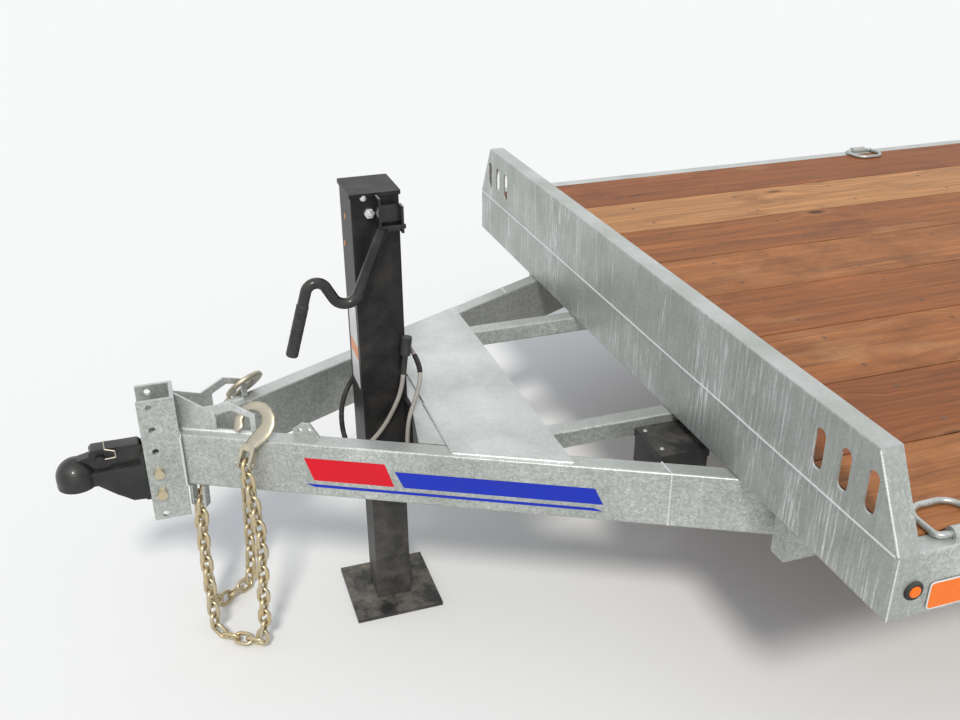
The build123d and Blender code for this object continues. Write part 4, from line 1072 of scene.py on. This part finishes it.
# %% [markdown]
# The tube carries stripes of cut vinyl: a red band, a blue band and a thin blue line below them, with
# slanted ends. They could be painted in the zinc's material, but vinyl is a film with edges of its own,
# so each stripe is a thin slab laid on the tube's outer face.

# %% Stripes on the tongue
STRIPE_LIFT = 0.15
STRIPE_THICK = 0.35
SLANT = 22.0
# Each stripe is its start and end along the tube, and its lower and upper edge.
RED_STRIPES = [(350, 560, -105, -40)]
BLUE_STRIPES = [(585, 1086, -105, -60), (350, 1086, -125, -117)]
stripe_origin = on_tube(TUBE_START, 0, 0) + TUBE_OUT * STRIPE_LIFT
vinyl_red = coated("vinyl_red", (0.62, 0.005, 0.018), (0.54, 0.005, 0.015), (0.34, 0.46), 0.06,
                   (120.0, 0.05, 0.1), shine=0.2)
vinyl_blue = coated("vinyl_blue", (0.010, 0.030, 0.42), (0.008, 0.025, 0.35), (0.34, 0.46), 0.06,
                    (120.0, 0.05, 0.1), shine=0.2)
for name, stripes, finish in (("stripes_red", RED_STRIPES, vinyl_red),
                              ("stripes_blue", BLUE_STRIPES, vinyl_blue)):
    bm = bmesh.new()
    for start, end, low, high in stripes:
        corners = [(start, low), (end, low), (end - SLANT, high), (start - SLANT, high)]
        outline = [stripe_origin + TUBE_WAY * along + UP * z for along, z in corners]
        slab(bm, outline, TUBE_OUT * STRIPE_THICK)
    both_sides(bm)
    piece(name, bm, finish, "galvanised")
print("stripes on both tubes")

# %% [markdown]
# Each axle hangs under its springs on U-bolts: a threaded rod bent round the axle tube, up past the
# leaves, through a plate and into a nut on each leg. Eight of them are alike, so one pattern is made,
# with its nuts and washers, and the tree repeats it. The thread is too fine to be seen and is left out.

# %% U-bolts
AXLES = (-3402.8, -4240.8)
AXLE_Z = -305.5
SPRING_Y = 804.6
U_APART = 30.0
U_RADIUS = 44.5
U_WIRE = 6.0
U_STEPS = 16
LEAF_TOP = -234.4
LEG = LEAF_TOP - AXLE_Z
WASHER = [(0, 11.5), (1.4, 11.5)]
WASHER_UP = 7.0
NUT_UP = 8.2
NUT_ACROSS = 22
NUT_DEEP = 11
ROD_FROM = 4
ROD_PAST = 30
PLATE_LONG = 58
PLATE_WIDE = 44
PLATE_DEEP = 7.2
PLATE_SUNK = 0.2
upright = Matrix.Identity(3)


def u_bolt_pattern():
    bm = bmesh.new()
    path = [(-U_RADIUS, 0, LEG + ROD_PAST), (-U_RADIUS, 0, LEG + ROD_FROM)]
    for n in range(U_STEPS + 1):
        t = math.pi * n / U_STEPS
        path.append((-U_RADIUS * math.cos(t), 0, -U_RADIUS * math.sin(t)))
    path += [(U_RADIUS, 0, LEG + ROD_FROM), (U_RADIUS, 0, LEG + ROD_PAST)]
    bar(bm, path, U_WIRE, 10, normal=LEFT)
    for x in (-U_RADIUS, U_RADIUS):
        hexagon(bm, (x, 0, LEG + NUT_UP), UP, NUT_ACROSS, NUT_DEEP)
        turned(bm, (x, 0, LEG + WASHER_UP), UP, WASHER, 18)
    return pattern_from(bm, "u_bolt")


u_places = [((x, side * SPRING_Y + off, AXLE_Z), upright)
            for x in AXLES for side in (-1, 1) for off in (-U_APART, U_APART)]
repeated("axle_u_bolts", u_places, u_bolt_pattern(), pale_steel, "gold_zinc")
bm = bmesh.new()
for x in AXLES:
    outline = [(x + a * PLATE_LONG, SPRING_Y + b * PLATE_WIDE, LEAF_TOP - PLATE_SUNK) for a, b in CORNERS]
    slab(bm, outline, UP * PLATE_DEEP)
both_sides(bm)
piece("spring_plates", bm, enamel, "black_enamel")
print("U-bolts", len(u_places))

# %% [markdown]
# Two self-drilling screws hold each board at each crossmember. Their flat heads sit just below the
# timber's face in a small dark ring. Over two hundred are far too many to place by hand, so the places
# are worked out from the crossmembers' pitch, and the tree puts one low head on each.

# %% Deck screws
CROSS_FIRST = -4659.8
CROSS_PITCH = 419.0
CROSS_COUNT = 11
CROSS_HALF = 22.0
TAIL_X = -4876.8
TAIL_CROSS = (-4936.8, -5355.8, -5774.8)
TAIL_SLOPE = math.radians(11)
BOARD_MM = BOARD_PITCH / MM
SCREW_IN = 62.0
SCREW = [(0, 6.6), (1.2, 6.4), (1.5, 5.6), (1.1, 2.8), (0.6, 2.2)]
SCREW_SUNK = 0.8
dark_oxide = coated("dark_oxide", (0.085, 0.050, 0.032), (0.14, 0.085, 0.05), (0.4, 0.6), 0.3,
                    (400.0, 0.2, 0.2), metallic=0.5)
tail_turn = Matrix.Rotation(-TAIL_SLOPE, 3, "Y")
screw_places = []
for board in range(BOARDS):
    for side in (SCREW_IN, BOARD_MM - SCREW_IN):
        y = (board - BOARDS / 2) * BOARD_MM + side
        for n in range(CROSS_COUNT):
            screw_places.append(((CROSS_FIRST + n * CROSS_PITCH + CROSS_HALF, y, deck_top), upright))
        for x in TAIL_CROSS:
            screw_places.append(((x, y, deck_top - (TAIL_X - x) * math.tan(TAIL_SLOPE)), tail_turn))
bm = bmesh.new()
turned(bm, (0, 0, -SCREW_SUNK), UP, SCREW, 8)
repeated("deck_screws", screw_places, pattern_from(bm, "screw_head"), dark_oxide, "gold_zinc")
print("deck screws", len(screw_places))

# %% [markdown]
# A trailer tyre has a plain round carcass and a flat tread. The carcass is its section turned about the
# axle. The tread has five ribs cut across into blocks, and blocks on the shoulder wrap down the side. A
# bump could only shade them, so one pitch of the tread is the pattern, and the tree repeats it round the
# tyre.

# %% Tyres
# Each outline is half a tyre's section, outside and inside: radius and distance from the middle.
TYRE_HALF = [(191, 80.3), (207, 84.4), (216, 92), (222, 94.6), (224, 96.6), (229, 98.4), (231, 97.4),
             (250, 103.6), (265, 107), (280, 109.4), (282, 110.9), (297, 112.4), (299.5, 111.5),
             (312, 110.8), (325, 109), (334, 105.4), (341, 101), (347, 95), (350.5, 88), (351.3, 60),
             (351.5, 30)]
INNER_HALF = [(200, 71), (222, 84), (262, 97), (300, 101), (330, 95), (340, 78), (341, 30)]
TYRE_STEPS = 96
TREAD_PITCHES = 52
TREAD_TOP = 359.4
TREAD_LOW = 349.5
TREAD_GROOVE = 2.6
TREAD_LEAN = 5.0
TREAD_SHIFT = 9.0
# A block's rings: how far out each lies, and how much it is drawn in.
BLOCK_RINGS = ((TREAD_LOW, 0.0), (TREAD_TOP - 1.0, 0.6), (TREAD_TOP, 1.8))
# Past each distance from the middle, the tread is lower by this much.
CROWN = ((80, 2.2), (50, 0.5))
RIBS = [(-89, -58), (-51, -22), (-15, 15), (22, 51), (58, 89)]
SHOULDER = [(TREAD_TOP - 3.4, 88.6, 11), (350.5, 93.5, 11), (341, 102.2, 9), (335, 105.2, 6)]
WHEEL_SIDE = 1048.5


def tread_block(n, low, high):
    """One block of rib n. It leans one way or the other, and narrows a little towards its top."""
    half = math.pi * TREAD_TOP / TREAD_PITCHES - TREAD_GROOVE
    lean = TREAD_LEAN if n % 2 else -TREAD_LEAN
    shift = TREAD_SHIFT if n in (1, 3) else 0.0
    middle = (low + high) / 2
    rings = []
    for z, shrink in BLOCK_RINGS:
        ring = []
        for a, b in CORNERS:
            x = shift + a * half + b * lean
            y = high if b > 0 else low
            px = x - math.copysign(shrink, x - shift)
            drop = next((fall for edge, fall in CROWN if abs(y) > edge), 0.0)
            sag = px * px / (2 * TREAD_TOP) + drop
            ring.append((px, y - math.copysign(shrink, y - middle), z - sag))
        rings.append(ring)
    return rings


def tread_pattern():
    """One pitch round the top of the tyre: X runs round it, Y across it and Z outwards."""
    bm = bmesh.new()
    for n, (low, high) in enumerate(RIBS):
        skin(bm, tread_block(n, low, high))
    for side in (-1, 1):
        skin(bm, [[(-wide, side * w, r), (wide, side * w, r), (wide - 1, side * (w - 9), r - 5),
                   (1 - wide, side * (w - 9), r - 5)] for r, w, wide in SHOULDER])
    return pattern_from(bm, "tread_pitch")


def there_and_back(half):
    return half + [(r, -w) for r, w in reversed(half)]


tyre_section = there_and_back(TYRE_HALF) + there_and_back([(r, -w) for r, w in INNER_HALF])
one_pitch = tread_pattern()
pitch_turns = [Matrix.Rotation(2 * math.pi * n / TREAD_PITCHES, 3, "Y") for n in range(TREAD_PITCHES)]
wheels = [(fore + "_" + side, Vector((x, way * WHEEL_SIDE, AXLE_Z)), LEFT * way)
          for fore, x in zip(("front", "rear"), AXLES) for side, way in (("left", 1), ("right", -1))]
for name, centre, out_way in wheels:
    bm = bmesh.new()
    skin(bm, [[centre + Vector((r * math.cos(t), w, r * math.sin(t))) for r, w in tyre_section]
              for t in around(TYRE_STEPS)], looped=True)
    piece("tyre_carcass_" + name, bm, tyre_rubber, "tyre", 50.0, body="wheel_" + name,
          stands_for=["tyre_" + name])
    places = [(centre, turn) for turn in pitch_turns]
    repeated("tyre_tread_" + name, places, one_pitch, tyre_rubber, "tyre", body="wheel_" + name)
print("tread pitches", TREAD_PITCHES, "blocks a tyre", TREAD_PITCHES * len(RIBS))

# %% [markdown]
# Six lug nuts hold each wheel, and a rubber valve stem stands by the rim. They turn with the wheel, so
# they ride on its body. A nut is a hexagon with a domed, closed end turned on it, repeated on a circle.
# The stem is a profile turned about a line that leans a little.

# %% Lug nuts and valves
LUG_CIRCLE = 69.85
LUGS = 6
LUG_ACROSS = 21
LUG_DEEP = 13
LUG_SUNK = 0.5
LUG_DOME = [(0, 9.2), (3.5, 8.6), (6.4, 6.6), (7.8, 3.4), (8.0, 1.0)]
DOME_UP = 11
VALVE = [(0, 7.4), (5, 7.0), (8, 4.6), (24, 4.0), (24.4, 5.2), (31, 5.0), (32, 3.6)]
VALVE_OUT = 58
VALVE_UP = 176
VALVE_LEAN = 0.35
bm = bmesh.new()
hexagon(bm, (0, 0, -LUG_SUNK), UP, LUG_ACROSS, LUG_DEEP)
turned(bm, (0, 0, DOME_UP), UP, LUG_DOME, 18)
one_lug = pattern_from(bm, "lug_nut")
for name, centre, out_way in wheels:
    places = []
    for n in range(LUGS):
        t = 2 * math.pi * (n + 0.5) / LUGS
        places.append((centre + Vector((math.cos(t), 0, math.sin(t))) * LUG_CIRCLE, facing(out_way)))
    repeated("lug_nuts_" + name, places, one_lug, pale_steel, "wheel", body="wheel_" + name)
    bm = bmesh.new()
    turned(bm, centre + out_way * VALVE_OUT + UP * VALVE_UP, out_way - UP * VALVE_LEAN, VALVE, 14)
    piece("valve_" + name, bm, rubber, "black_rubber", body="wheel_" + name)
print("lug nuts", LUGS * len(wheels))

# %% [markdown]
# Small trim finishes the sides: a pale edge round each reflector, and two screws in the battery box's
# lid. The edge could be part of the lens's material, but a thin bar along the outline catches the light
# as the real one does. It lies on the reflector's own face, read from the frame.

# %% Reflector edges and lid screws
REFLECTOR_FRONTS = (-92.0, -4796.8)
REFLECTOR_LONG = 112.0
REFLECTOR_LOW = 14.0
REFLECTOR_HIGH = 74.0
REFLECTOR_ROUND = 8.0
EDGE_WIDE = 1.2
EDGE_WIRE = 1.7
EDGE_SUNK = 1.4
LID_SCREWS = ((85, 375), (85, 470))
LID_SCREW = [(0, 6), (2.6, 6), (3.8, 4.6), (4.0, 2.4), (3.2, 2.0)]
face = measured("reflectors")[1].y
lid_top = measured("battery_box")[1].z
bm = bmesh.new()
for front in REFLECTOR_FRONTS:
    back = front - REFLECTOR_LONG
    outline = rounded_box(back - EDGE_WIDE, front + EDGE_WIDE, REFLECTOR_LOW - EDGE_WIDE,
                          REFLECTOR_HIGH + EDGE_WIDE, REFLECTOR_ROUND)
    bar(bm, [(x, face - EDGE_SUNK, z) for x, z in outline], EDGE_WIRE, 8, looped=True, normal=LEFT)
both_sides(bm)
piece("reflector_edges", bm, label_film, "amber_lens", 60.0)
bm = bmesh.new()
turned(bm, (0, 0, -1), UP, LID_SCREW, 14)
lid_places = [((x, y, lid_top), facing(UP)) for x, y in LID_SCREWS]
repeated("lid_screws", lid_places, pattern_from(bm, "lid_screw"), pale_steel, "gold_zinc")
print("lid at", round(lid_top, 1), "mm")

# %% [markdown]
# Black tape binds the cable in two places, and a short rubber boot tapers it into its grommet. The back
# run of tape, where the cable climbs behind the jack, is partly painted shadow: it also stands for the
# jack's shadow on the cable. They could be thicker curves of their own. Here they follow the line that
# was read from the cable's own spline, so they bend exactly as it does.

# %% Tape and boot on the cable
TAPES_AND_SHADOW = (("cable_tape_front", (730, -108, 40), (812, 10, -122)),
         # The back run is black partly as tape and partly as the jack's shadow, painted on the cable.
         ("cable_tape_back", (616, 60, 136), (611, 98, 100)))
TAPE_THICK = 0.9
TAPE_LAP = 1.25
TAPE_END = 0.5
BOOT_LONG = 24.0
BOOT_WIDE = 11.5
BOOT_TAPER = 4.5
BOOT_RING = 0.8
cable_way = [(point - at(0, 0, 0)) / MM for point in cable_line]


def nearest(place):
    return min(range(len(cable_way)), key=lambda n: (cable_way[n] - Vector(place)).length)


def sleeve(name, run, radii, sides):
    bm = bmesh.new()
    bar(bm, run, radii, sides)
    return piece(name, bm, rubber, "black_rubber")


for name, first, last in TAPES_AND_SHADOW:
    low, high = sorted((nearest(first), nearest(last)))
    run = cable_way[low:high + 1]
    wraps = [CABLE_RADIUS + (TAPE_THICK if n % 3 else TAPE_LAP) for n in range(len(run))]
    wraps[0] = wraps[-1] = CABLE_RADIUS + TAPE_END
    sleeve(name, run, wraps, 14)
boot = cable_way[:nearest(cable_exit - TUBE_OUT * BOOT_LONG) + 1]
steps = len(boot) - 1
rings = [BOOT_WIDE - BOOT_TAPER * n / steps - BOOT_RING * (n % 3 == 1) for n in range(len(boot))]
sleeve("cable_boot", boot, rings, 16)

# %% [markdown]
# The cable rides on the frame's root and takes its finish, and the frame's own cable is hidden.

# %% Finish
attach(cable, "root")
cable.data.materials.append(cable_skin)
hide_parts("trailer_cable")
